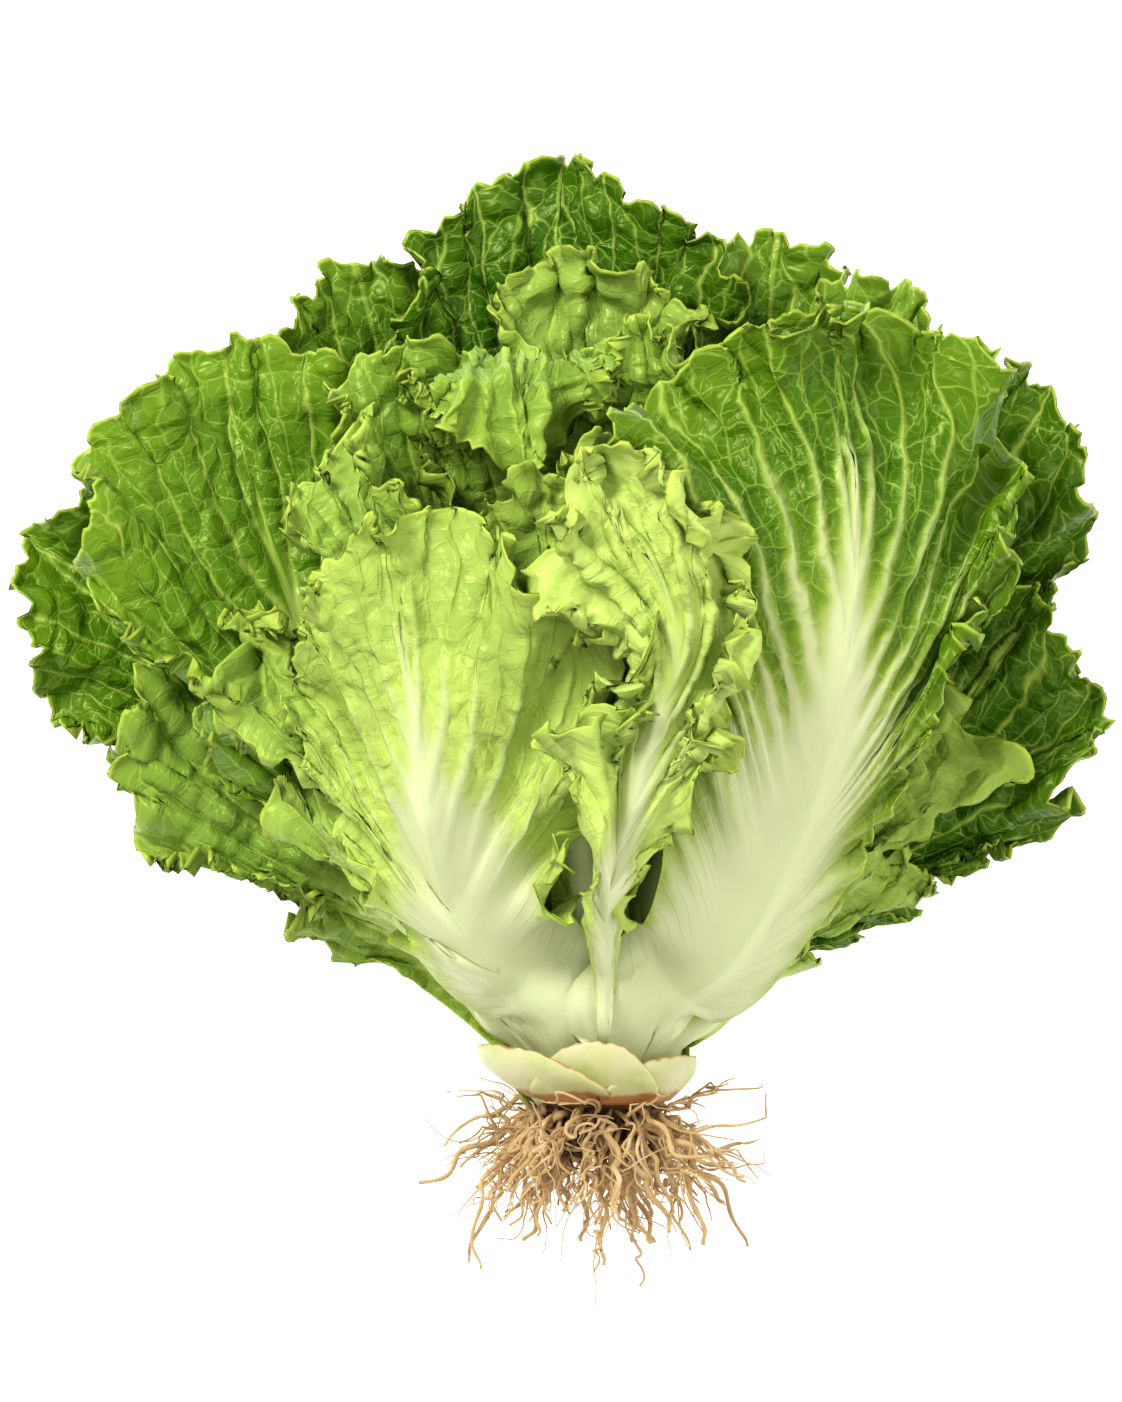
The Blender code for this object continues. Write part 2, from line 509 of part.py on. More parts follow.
def stub_solid(azimuth_from, azimuth_to, low, high, foot, top):
    """A short curved scale: the base of a pulled leaf, its top edge torn in a shallow arch."""
    columns, rows = 9, 5
    thin_sides, thin_top = 0.35, 0.45
    u = np.linspace(0, 1, columns)[:, None]
    v = np.linspace(0, 1, rows)[None, :]
    azimuth = np.radians(azimuth_from + (azimuth_to - azimuth_from) * u) + 0 * v
    arch = 1 - STUB_ARCH * (2 * u - 1) ** 4
    height = low + (high - low) * arch * v
    bulge = foot + (top - foot) * np.sin(0.5 * np.pi * v)
    middle = np.sin(np.pi * np.clip(u, 0.06, 0.94))
    thickness = STUB_THICKNESS * (thin_sides + (1 - thin_sides) * middle) * (1 - thin_top * v)
    sides = []
    for r in (bulge + thickness, bulge + 0 * thickness):
        sides.append(np.stack([r * np.sin(azimuth), height + 0 * azimuth, r * np.cos(azimuth)], axis=-1))
    vertices = np.vstack([side.reshape(-1, 3) for side in sides]) * MM + CROWN
    count = columns * rows
    index = np.arange(count).reshape(columns, rows)
    faces = []
    for i in range(columns - 1):
        for j in range(rows - 1):
            a, b, c, d = index[i, j], index[i, j + 1], index[i + 1, j + 1], index[i + 1, j]
            faces += [(d, c, b, a), (a + count, b + count, c + count, d + count)]
    loop = list(index[:, 0]) + list(index[-1, 1:]) + list(index[-2::-1, -1]) + list(index[0, -2:0:-1])
    for a, b in zip(loop, loop[1:] + loop[:1]):
        faces.append((a, b, b + count, a + count)[::-1])
    return vertices, faces


def tube_solid(path, radii, sides):
    """A closed tapering tube along a path."""
    path = np.asarray(path)
    tangent = np.gradient(path, axis=0)
    tangent /= np.linalg.norm(tangent, axis=1, keepdims=True)
    helper = np.array([0.3, 0.2, 1.0])
    first = np.cross(tangent, helper)
    first /= np.linalg.norm(first, axis=1, keepdims=True)
    second = np.cross(tangent, first)
    angles = np.linspace(0, 2 * np.pi, sides, endpoint=False)
    ring = first[:, None] * np.cos(angles)[None, :, None] + second[:, None] * np.sin(angles)[None, :, None]
    vertices = (path[:, None] + ring * np.asarray(radii)[:, None, None]).reshape(-1, 3)
    faces = []
    for i in range(len(path) - 1):
        for k in range(sides):
            following = (k + 1) % sides
            a, b = i * sides + k, i * sides + following
            faces.append((a, b, b + sides, a + sides))
    faces.append(tuple(range(sides))[::-1])
    faces.append(tuple(range((len(path) - 1) * sides, len(path) * sides)))
    return vertices, faces


def root_tubes():
    """Paths and radii of the roots: they spread from the root crown and bend down, some forked."""
    rng = np.random.default_rng(ROOT_SEED)
    tubes = []
    for i in range(MAIN_ROOTS):
        ring = (i + 0.5) / MAIN_ROOTS
        azimuth = ROOT_TURN * i + rng.uniform(-0.2, 0.2)
        spread = np.sqrt(ring)
        reach = rng.uniform(*ROOT_LENGTH) * (1 + ROOT_SIDEWAYS * spread * np.sin(azimuth)**2)
        outward = np.array([np.sin(azimuth), 0, np.cos(azimuth)])
        lean = np.radians(ROOT_LEANS[0] + ROOT_LEANS[1] * spread)
        heading = np.cos(lean) * np.array([0, -1.0, 0]) + np.sin(lean) * outward
        path = [outward * ROOT_RING * spread + (0, ROOT_DEPTH, 0)]
        for _ in range(ROOT_STEPS - 1):
            heading = heading + (0, -ROOT_BEND, 0) + rng.normal(0, ROOT_BEND, 3)
            heading /= np.linalg.norm(heading)
            path.append(path[-1] + heading * reach / (ROOT_STEPS - 1))
        path = np.array(path)
        radii = rng.uniform(*ROOT_RADIUS) * np.linspace(1, 0.38, ROOT_STEPS) ** 1.1
        tubes.append((path, radii, 4))
        if i < BRANCHES:
            at = rng.integers(2, ROOT_STEPS - 2)
            side = heading + rng.normal(0, 0.8, 3)
            side /= np.linalg.norm(side)
            fork = [path[at]]
            for k in range(1, BRANCH_STEPS):
                fork.append(path[at] + side * k * rng.uniform(*BRANCH_STEP) + rng.normal(0, 0.6 * MM, 3))
            tubes.append((np.array(fork), radii[at] * np.linspace(0.75, 0.35, BRANCH_STEPS), 3))
    return tubes


def add_object(name, vertices, faces, material, smooth=False):
    mesh = bpy.data.meshes.new(name)
    mesh.from_pydata([tuple(map(float, v)) for v in vertices], [], [tuple(map(int, f)) for f in faces])
    mesh.validate()
    if smooth:
        mesh.shade_smooth()
    mesh.materials.append(material)
    obj = bpy.data.objects.new(name, mesh)
    bpy.context.scene.collection.objects.link(obj)
    return obj


def add_material(name, colour, roughness):
    material = bpy.data.materials.new(name)
    material.use_nodes = True
    shader = material.node_tree.nodes["Principled BSDF"]
    shader.inputs["Base Color"].default_value = (*colour, 1)
    shader.inputs["Roughness"].default_value = roughness
    shader.inputs["Metallic"].default_value = 0.0
    return material


def add_roots(material):
    """The root crown with every root fused to it."""
    vertices, faces = ring_solid(ROOT_CROWN_PROFILE, ROOT_CROWN_SIDES, ROOT_CROWN_RIPPLE)
    roots = add_object("roots", vertices, faces, material)
    strands = bpy.data.collections.new("strands")
    pieces = []
    for i, (path, radii, sides) in enumerate(root_tubes()):
        vertices, faces = tube_solid(path + CROWN, radii, sides)
        piece = add_object(f"strand_{i}", vertices, faces, material)
        bpy.context.scene.collection.objects.unlink(piece)
        strands.objects.link(piece)
        pieces.append(piece)
    bpy.context.scene.collection.children.link(strands)
    union = roots.modifiers.new("fuse_strands", "BOOLEAN")
    union.operation = "UNION"
    union.operand_type = "COLLECTION"
    union.collection = strands
    union.solver = "MANIFOLD"
    bpy.context.view_layer.objects.active = roots
    bpy.ops.object.modifier_apply(modifier=union.name)
    for piece in pieces:
        bpy.data.objects.remove(piece)
    bpy.data.collections.remove(strands)


def leaf_colour(leaf):
    """Leaves low on the head are dark green and those high on it light."""
    height = float(np.mean([z for _, _, z in leaf.rib]))
    share = np.clip((height - LOW_LEAF) / (HIGH_LEAF - LOW_LEAF), 0, 1)
    return tuple(np.array(DARK_GREEN) * (1 - share) + np.array(LIGHT_GREEN) * share)


def build():
    for obj in list(bpy.data.objects):
        bpy.data.objects.remove(obj)

    stem_vertices, stem_faces = ring_solid(STEM_PROFILE, STEM_SIDES)
    add_object("stem", stem_vertices, stem_faces, add_material("stem", STEM_COLOUR, 0.5), smooth=True)
    for name, *size in STUBS:
        vertices, faces = stub_solid(*size)
        add_object(name, vertices, faces, add_material(name, STUB_COLOUR, 0.45), smooth=True)

    stem_triangles = [(f[0], f[i], f[i + 1]) for f in stem_faces for i in range(1, len(f) - 1)]
    stem_spots, _ = samples_of(stem_vertices, np.array(stem_triangles))
    heights = HeightMap()
    for leaf in LOWER_LEAVES + UPPER_LEAVES:
        if leaf is UPPER_LEAVES[0]:
            heights.add(stem_spots, 0.0)
        sheet = Sheet(leaf)
        lay_on(heights, sheet)
        vertices, faces = leaf_solid(sheet)
        add_object(leaf.name, vertices, faces, add_material(leaf.name, leaf_colour(leaf), 0.42))

    add_roots(add_material("roots", ROOT_COLOUR, 0.8))


if __name__ == "__main__":
    build()
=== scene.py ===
"""Looks for a head of loose-leaf lettuce that lies on its back, pulled with its roots.

Metres, +Z up. The plant's axis runs along +Y, from the roots to the leaf tips, and the camera looks
straight down on it. Each leaf is laid on those under it, as in the solids, with finer ruffles.
"""

from dataclasses import dataclass

import bpy
import numpy as np
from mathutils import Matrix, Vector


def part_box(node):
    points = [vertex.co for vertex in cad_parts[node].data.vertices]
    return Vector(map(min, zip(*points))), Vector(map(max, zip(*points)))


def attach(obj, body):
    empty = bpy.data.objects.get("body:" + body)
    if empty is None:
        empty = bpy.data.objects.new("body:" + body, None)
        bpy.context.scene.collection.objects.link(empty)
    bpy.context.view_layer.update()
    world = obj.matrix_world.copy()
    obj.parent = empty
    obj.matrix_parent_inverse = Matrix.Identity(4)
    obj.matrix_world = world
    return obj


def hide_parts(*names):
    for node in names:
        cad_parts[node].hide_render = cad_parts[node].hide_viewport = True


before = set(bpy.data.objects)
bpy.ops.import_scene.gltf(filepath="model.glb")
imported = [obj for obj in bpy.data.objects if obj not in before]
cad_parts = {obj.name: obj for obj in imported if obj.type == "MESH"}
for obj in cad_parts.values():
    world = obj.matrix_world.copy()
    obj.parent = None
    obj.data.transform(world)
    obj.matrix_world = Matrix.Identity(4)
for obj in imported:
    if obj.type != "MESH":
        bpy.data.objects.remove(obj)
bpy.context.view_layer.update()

# The leaves.
# Each is a thin blade on a midrib. Its margin grew longer than its middle, so it is thrown into
# ruffles within ruffles, and the blade is puffed between the veins. They leave a short stem in turn.
MM = 0.001
CROWN = np.array([0.0, -0.100, 0.050])  # where the outer leaves leave the stem
BLADE_THICKNESS = 0.0009
RIB_THICKNESS = 0.0026
RIB_ACROSS = (1.0, 0.22, 0.0)
RIB_FADE = 1.15
RIB_LEAST = 0.06
RIB_HALF_WIDTH = (0.0050, 0.0009)  # at the leaf's base and at its tip
VEIN_REACH = 0.80
VEIN_ENDS = (0, 0.20, 0.63, 1.0)
VEIN_STARTS = (0, 0.20, 0.46, 1.0)
VEIN_HEIGHT = 0.0006
PUFF = 0.0016  # how far the blade swells towards its inner face between side veins
BLISTERS = ((0.0150, 0.0009), (0.0068, 0.0006))  # size and height of the swellings
SMOOTH_MARGIN = 0.10
EASED_MARGIN = 0.11
LOBE_WAVE = 0.0135
LOBE_HEIGHT = 0.0022
ROUNDED_LOBES = 0.7  # share of that height in the fine blade, whose lobes are round
LOBE_WANDER = (1.2, 3.5)
TEETH = ((0.0060, 0.0005), (0.0035, 0.0003))  # wave along the margin, and height in the blade's plane
RUFFLES = ((0.046, 0.0095, 2.2), (0.021, 0.0042, 5.0))  # wave along the margin, height, fade to the rib
FINE_RUFFLES = ((0.0135, 0.0027, 0.0085), (0.0068, 0.0008, 0.0036))  # the last: how far in they reach
RUFFLE_WANDER = (1.3, 3.7)
RUFFLE_SWELL = (0.35, 5.3)
RUFFLE_LEAN = 0.45
FINE_LEAN = 0.30
ROLLED_SHARE = 0.45
ROLL_ENDS = (0, 0.18, 0.36, 0.5, 0.64, 0.82, 1)
WIDEST_ARC = 2.3
TIGHTEST_RING = 0.003
SHARES = (0.0, 0.15, 0.30, 0.45, 0.60, 0.75, 0.90, 1.0)
COMMON = (0.16, 0.20, 0.36, 0.62, 0.88, 1.02, 0.86, 0.0)
COLUMNS = (0.0, 0.5, 1.0)
ROW_STEPS = (4, 2, 1)
FINE_STEPS = (4,) * 8 + (2,) * 8 + (1,) * 10  # row step in each column of the fine blade
FINE_ROWS = 8  # times the coarse blade's rows
FINE_CROWDING = 1.35  # columns crowd towards the margin
FOOT_SHARE = 0.27  # share of the length over which the blade clasps the stem
FOOT_DEPTH = 0.009  # how far it runs down behind the stubs
FOOT_EASE = 0.020
FOOT_NARROWS = 0.20
BOWL_PUSH = 0.0085  # how far the bases spread from the axis between the stubs and the blades
BOWL_HEIGHTS = (-2, 13, 15, 36)  # where that begins, is full, fades and ends, in millimetres
BOWL_RADII = (0.018, 0.034)
SMOOTH_FOOT = (0.08, 0.36)  # share of the length without side veins: at least, and more for a pale leaf
VEIN_LEAN = 0.40  # how much more steeply than the rows the side veins leave the rib
LEAVING = (1.5, 9)
OPENING_SHARE = 0.22


@dataclass
class Leaf:
    """One leaf, in millimetres and degrees, from the crown: x to the right, along the axis, z up.

    start is where it leaves the stem: azimuth, distance from the axis, height along it. rib is the
    rest of the midrib's path. facing is the outer face's azimuth at the base, the middle and the tip.
    left and right are half widths at SHARES. pale is the share of the length that stays pale, dark how
    deep its green is and the painted shade between its side veins, and yellow how yellow. rib_size and
    crumple scale the rib and the swellings, spacing is from one side vein to the next along the margin,
    foot is half the base's width, and smooth_margin is the share of the margin from the base that isn't ruffled.
    """

    name: str
    slot: str
    start: tuple
    rib: tuple
    facing: tuple
    left: tuple
    right: tuple
    wrap: tuple = (0.5, 0.5)
    ruffle: float = 1.0
    curl: tuple = (0.0, 0.0, 0.0)
    rows: int = 32
    seed: int = 0
    pale: float = 0.30
    dark: float = 0.4
    yellow: float = 0.2
    rib_size: float = 1.0
    crumple: float = 1.0
    spacing: float = 0.0165
    foot: float = 12.0
    smooth_margin: float = SMOOTH_MARGIN


def common(half_width):
    """Half widths of a leaf of the common outline."""
    return tuple(half_width * share for share in COMMON)


# From the lowest leaf to the one on top: first those under the stem, then those over it
LOWER_LEAVES = (
    Leaf("under_middle", "leaf_outer", (180, 23, -4), ((0, 36, -40), (-1, 80, -54), (-2, 125, -54), (-3, 168, -49)),
         (180, 180, 180), common(54), common(54), wrap=(0.1, 0.1), ruffle=0.5, rows=24, seed=30,
         pale=0.5, dark=0.4),
    Leaf("under_left", "leaf_outer", (-144, 19, -3), ((-28, 40, -35), (-50, 88, -43), (-70, 130, -41), (-84, 160, -37)),
         (-160, -172, -180), common(46), common(50), wrap=(0.1, 0.3), ruffle=0.5, rows=24, seed=15,
         pale=0.45, dark=0.7),
    Leaf("under_right", "leaf_outer", (144, 19, -3), ((28, 40, -35), (50, 88, -43), (66, 125, -41), (78, 150, -37)),
         (160, 172, 180), common(50), common(46), wrap=(0.3, 0.1), ruffle=0.5, rows=24, seed=16,
         pale=0.45, dark=0.7),
    Leaf("back_left", "leaf_outer", (-152, 13.5, 6), ((-22, 60, -30), (-40, 120, -34), (-54, 168, -28), (-64, 204, -18)),
         (-160, -165, -172), common(46), common(44), ruffle=0.7, seed=14, dark=0.6, yellow=0.05),
    Leaf("back_right", "leaf_outer", (152, 13.5, 8), ((20, 60, -28), (32, 120, -33), (42, 170, -28), (48, 210, -18)),
         (160, 165, 172), common(42), common(44), ruffle=0.7, seed=12, dark=0.6, yellow=0.05),
    Leaf("back_middle", "leaf_outer", (180, 12, 13), ((-2, 60, -24), (-6, 120, -30), (-10, 180, -28), (-12, 230, -18)),
         (180, 180, 180), common(50), common(48), ruffle=0.7, seed=13, dark=1.0, yellow=0.0),
    Leaf("left_wide", "leaf_side", (-116, 12.4, 5), ((-45, 45, -18), (-82, 85, -20), (-119, 114, -17), (-148, 130, -10)),
         (-150, -155, -165), common(40), common(36), wrap=(0.2, 0.3), ruffle=0.8, seed=8, dark=0.5, yellow=0.0),
    Leaf("right_upper", "leaf_side", (116, 12.4, 6), ((40, 55, -14), (68, 110, -15), (86, 145, -11), (98, 182, -4)),
         (150, 155, 165), common(42), common(40), wrap=(0.3, 0.2), ruffle=0.8, seed=11, dark=0.9, yellow=0.0),
    Leaf("right_wide", "leaf_side", (106, 16.2, -3), ((42, 30, -14), (72, 65, -17), (94, 90, -15), (110, 116, -10)),
         (150, 145, 155), common(40), common(36), wrap=(0.3, 0.2), ruffle=0.8, seed=10, dark=0.9, yellow=0.0),
    Leaf("right_low", "leaf_side", (78, 17.2, -3), ((38, 20, 4), (58, 45, 3), (74, 70, 3), (86, 96, 3)),
         (50, 60, 50), common(27), common(29), wrap=(0.6, 0.5), curl=(20, 10, 0), ruffle=0.9, seed=9,
         pale=0.38, dark=0.0, yellow=0.5, crumple=1.8),
    Leaf("back_side", "leaf_outer", (130, 10.2, 14), ((30, 60, -14), (52, 120, -18), (66, 165, -13), (75, 196, -6)),
         (155, 165, 172), common(32), common(32), wrap=(0.3, 0.3), ruffle=0.7, seed=17, dark=0.4, yellow=0.1),
    Leaf("left_low", "leaf_side", (-104, 16.2, -4), ((-42, 25, -11), (-70, 55, -13), (-92, 85, -12), (-106, 112, -9)),
         (-150, -140, -150), common(40), common(36), wrap=(0.2, 0.3), ruffle=0.8, seed=4,
         dark=0.0, yellow=0.35, crumple=1.4),
    Leaf("left_upper", "leaf_side", (-80, 11.0, 10), ((-38, 45, 2), (-66, 88, 4), (-84, 130, 6), (-98, 180, 6)),
         (-145, -150, -160), common(46), common(46), wrap=(0.2, 0.3), ruffle=0.8, seed=6,
         dark=0.2, yellow=0.05),
    Leaf("left_rolled", "leaf_side", (-76, 17.8, -3), ((-38, 25, 5), (-56, 55, 4), (-70, 85, 4), (-86, 114, 3)),
         (-45, -60, -50), common(28), common(24), wrap=(0.5, 0.8), curl=(0, 20, 60), ruffle=0.9, seed=5,
         pale=0.6, dark=0.0, yellow=0.45, crumple=1.6),
    Leaf("inner_back", "leaf_inner", (180, 9, 24), ((0, 70, -16), (-2, 120, -18), (-3, 170, -16), (-3, 206, -12)),
         (180, 180, 180), common(36), common(36), ruffle=0.7, seed=18, dark=0.0, yellow=0.6, crumple=1.5),
    Leaf("inner_left", "leaf_inner", (-112, 7, 26), ((-24, 60, 4), (-36, 110, 9), (-44, 150, 14), (-50, 180, 16)),
         (-140, -150, -160), common(34), common(30), wrap=(0.4, 0.6), ruffle=0.7, seed=21, dark=0.2),
    Leaf("inner_right", "leaf_inner", (95, 10, 20), ((16, 60, 6), (19, 110, 13), (15, 150, 20), (8, 184, 26)),
         (125, 140, 155), common(32), common(32), wrap=(0.6, 0.4), ruffle=0.7, seed=20, dark=0.0, yellow=0.3),
    Leaf("inner_hood", "leaf_inner", (180, 6, 30), ((-12, 66, 4), (-20, 110, 8), (-20, 150, 20), (-20, 174, 34),
                                                    (-20, 170, 52), (-20, 146, 58)),
         (180, 180, 180), common(24), common(26), wrap=(0.4, 0.4), ruffle=0.7, seed=19,
         dark=0.0, yellow=0.3, crumple=1.6),
    Leaf("heart_back", "leaf_inner", (20, 4, 40), ((2, 60, 6), (2, 90, 10), (2, 130, 14), (2, 155, 18)),
         (170, 170, 170), common(20), common(20), wrap=(0.8, 0.8), ruffle=0.4, rows=24, seed=24,
         dark=0.1, yellow=0.6),
)
UPPER_LEAVES = (
    Leaf("heart_front", "leaf_inner", (20, 7.5, 32), ((8, 55, 16), (12, 90, 24), (14, 120, 28), (14, 140, 28)),
         (20, 40, 30), common(20), common(20), wrap=(0.8, 0.8), ruffle=0.4, rows=24, seed=23,
         dark=0.1, yellow=0.7),
    Leaf("inner_front", "leaf_inner", (-10, 11, 20), ((-6, 55, 28), (-10, 90, 35), (-12, 120, 38), (-14, 145, 38)),
         (-10, 0, -5), common(26), common(24), wrap=(0.9, 0.9), ruffle=0.6, seed=22,
         dark=0.0, yellow=0.4, crumple=1.3),
    Leaf("left_inner", "leaf_inner", (-48, 12.3, 7), ((-34, 50, 22), (-48, 95, 28), (-56, 130, 29), (-60, 157, 27)),
         (-35, -50, -60), common(24), common(26), wrap=(0.7, 0.9), curl=(0, 40, 0), ruffle=0.8, seed=7,
         dark=0.1, yellow=0.4),
    Leaf("front_left", "leaf_front", (-34, 16.2, 4), ((-30, 27, 31), (-40, 52, 42), (-45, 85, 48),
                                                      (-49, 110, 49), (-54, 132, 45)),
         (-28, -28, -20), (11, 14, 16, 22, 30, 32, 22, 0), (11, 20, 30, 38, 46, 48, 34, 0),
         wrap=(0.7, 0.5), ruffle=0.9, curl=(20, 40, 30), seed=3, pale=0.72, dark=0.0, yellow=0.75,
         crumple=0.6, spacing=0.0140, foot=13.0),
    Leaf("front_right", "leaf_front", (36, 16.2, 4), ((30, 25, 33), (47, 57, 47), (58, 92, 55),
                                                      (61, 125, 59), (60, 152, 57), (51, 184, 47)),
         (30, 30, 20), (11, 20, 30, 40, 50, 60, 56, 0), (11, 16, 20, 24, 30, 44, 42, 0),
         ruffle=0.9, curl=(0, 40, 20), seed=2, pale=0.75, dark=0.6, yellow=0.0, crumple=0.8, spacing=0.0150, foot=14.0),
    Leaf("front_frill", "leaf_front", (2, 30, 12), ((1, 28, 38), (2, 46, 48), (10, 75, 58), (18, 102, 64),
                                                    (10, 125, 66), (-4, 147, 58)),
         (2, 10, 0), (3, 5, 7, 10, 13, 16, 17, 0), (3, 5, 8, 11, 14, 16, 15, 0),
         wrap=(0.3, 0.3), curl=(20, 30, 20), seed=1, pale=0.58, dark=0.0, yellow=1.1,
         rib_size=0.1, crumple=1.5, foot=1.6, smooth_margin=0.01),
)


def smooth_step(t):
    """0 below 0, 1 above 1 and a cubic ease between."""
    t = np.clip(t, 0.0, 1.0)
    return t * t * (3.0 - 2.0 * t)


def curve_through(points, before, after, count):
    """count points evenly spaced along a Catmull-Rom curve, and its length."""
    p = np.vstack([before, points, after])
    t = np.linspace(0, 1, 20, endpoint=False)[:, None]
    pieces = [
        0.5 * (2 * b + (c - a) * t + (2 * a - 5 * b + 4 * c - d) * t**2 + (3 * b - a - 3 * c + d) * t**3)
        for a, b, c, d in zip(p, p[1:], p[2:], p[3:])
    ]
    fine = np.vstack(pieces + [p[-2:-1]])
    arc = np.concatenate([[0], np.cumsum(np.linalg.norm(np.diff(fine, axis=0), axis=1))])
    even = np.linspace(0, arc[-1], count)
    return np.column_stack([np.interp(even, arc, fine[:, k]) for k in range(p.shape[1])]), arc[-1]


def half_outline(widths, length, rows):
    """Points along half of a flat leaf's margin from its base to its tip, and their arc length."""
    p = np.column_stack([np.array(widths) * MM, np.array(SHARES) * length])
    mirrored = p[-2] * (-1, 1)
    return curve_through(p, 2 * p[0] - p[1], mirrored, rows + 1)


def wandering(s, wave, wander, phase, drift):
    """Phase of a wave along the margin whose length varies: 2 pi s / wave + a sin(2 pi s / (b wave))."""
    shift, period = wander
    return 2 * np.pi * s / wave + shift * np.sin(2 * np.pi * s / (period * wave) + drift) + phase


def scalloped(turn):
    """Round lobes with sharp notches between them: 2 |sin(turn / 2 + pi / 4)| - 1."""
    return 2 * np.abs(np.sin(turn / 2 + np.pi / 4)) - 1


def rib_points(leaf):
    """The points that the midrib's curve passes through: it leaves the stem nearly along it."""
    azimuth, distance, height = leaf.start
    outward = np.array([np.sin(np.radians(azimuth)), 0, np.cos(np.radians(azimuth))])
    first = outward * distance + (0, height, 0)
    second = first + outward * LEAVING[0] + (0, LEAVING[1], 0)
    return np.vstack([first, second, leaf.rib]) * MM


def place_on_rib(leaf, line, length, x, y):
    """Carries flat leaf points to the plant: along the rib's curve, on an arc across it.

    At the base the arc is a ring round the stem. Further up it opens as far as wrap says.
    """
    steps = np.linspace(0, length, len(line))
    tangent = np.gradient(line, axis=0)
    tangent /= np.linalg.norm(tangent, axis=1, keepdims=True)
    azimuth = np.radians(np.interp(steps / length, (0, 0.5, 1), leaf.facing))
    outward = np.column_stack([np.sin(azimuth), np.zeros_like(azimuth), np.cos(azimuth)])
    face = outward - np.sum(outward * tangent, axis=1, keepdims=True) * tangent
    face /= np.linalg.norm(face, axis=1, keepdims=True)
    turned_over = np.sign(np.sum(face[1:] * face[:-1], axis=1, keepdims=True))
    face[1:] *= np.cumprod(turned_over, axis=0)
    across = np.cross(tangent, face)
    from_axis = np.maximum(np.linalg.norm(line[:, [0, 2]], axis=1), TIGHTEST_RING)

    def at(values):
        return np.stack([np.interp(y, steps, values[:, k]) for k in range(3)], axis=-1)

    opening = smooth_step(y / (OPENING_SHARE * length))
    wrap = 1 + (np.where(x < 0, leaf.wrap[0], leaf.wrap[1]) - 1) * opening
    bend = wrap / np.interp(y, steps, from_axis)
    angle = WIDEST_ARC * np.tanh(x * bend / WIDEST_ARC)
    past_end = y - np.clip(y, 0, length)
    points = at(line) + at(tangent) * past_end[..., None]
    points = points + at(across) * (np.sin(angle) / bend)[..., None]
    points = points - at(face) * ((1 - np.cos(angle)) / bend)[..., None]
    return points, at(face) * np.cos(angle)[..., None] + at(across) * np.sin(angle)[..., None]


def grid_normals(points, like):
    """Unit normals of a grid of points, on the same side as the rough ones."""
    n = np.cross(np.gradient(points, axis=0), np.gradient(points, axis=1))
    n *= np.sign(np.sum(n * like, axis=-1, keepdims=True))
    short = np.linalg.norm(n, axis=-1, keepdims=True) < 1e-14
    n = np.where(short, like, n)
    return n / np.linalg.norm(n, axis=-1, keepdims=True)


def blistered(x, y, size, seed):
    """Rounded swellings of a given size: the smooth maximum of cosines in three slanted directions."""
    rng = np.random.default_rng(seed)
    total = np.zeros_like(x)
    for slant in np.radians((10, 70, 130)):
        along = x * np.cos(slant) + y * np.sin(slant)
        beside = y * np.cos(slant) - x * np.sin(slant)
        shift = 1.1 * np.sin(2 * np.pi * beside / (2.3 * size) + rng.uniform(0, 6)) + rng.uniform(0, 6)
        total += np.cos(2 * np.pi * along / size + shift)
    return np.tanh(0.9 * total)


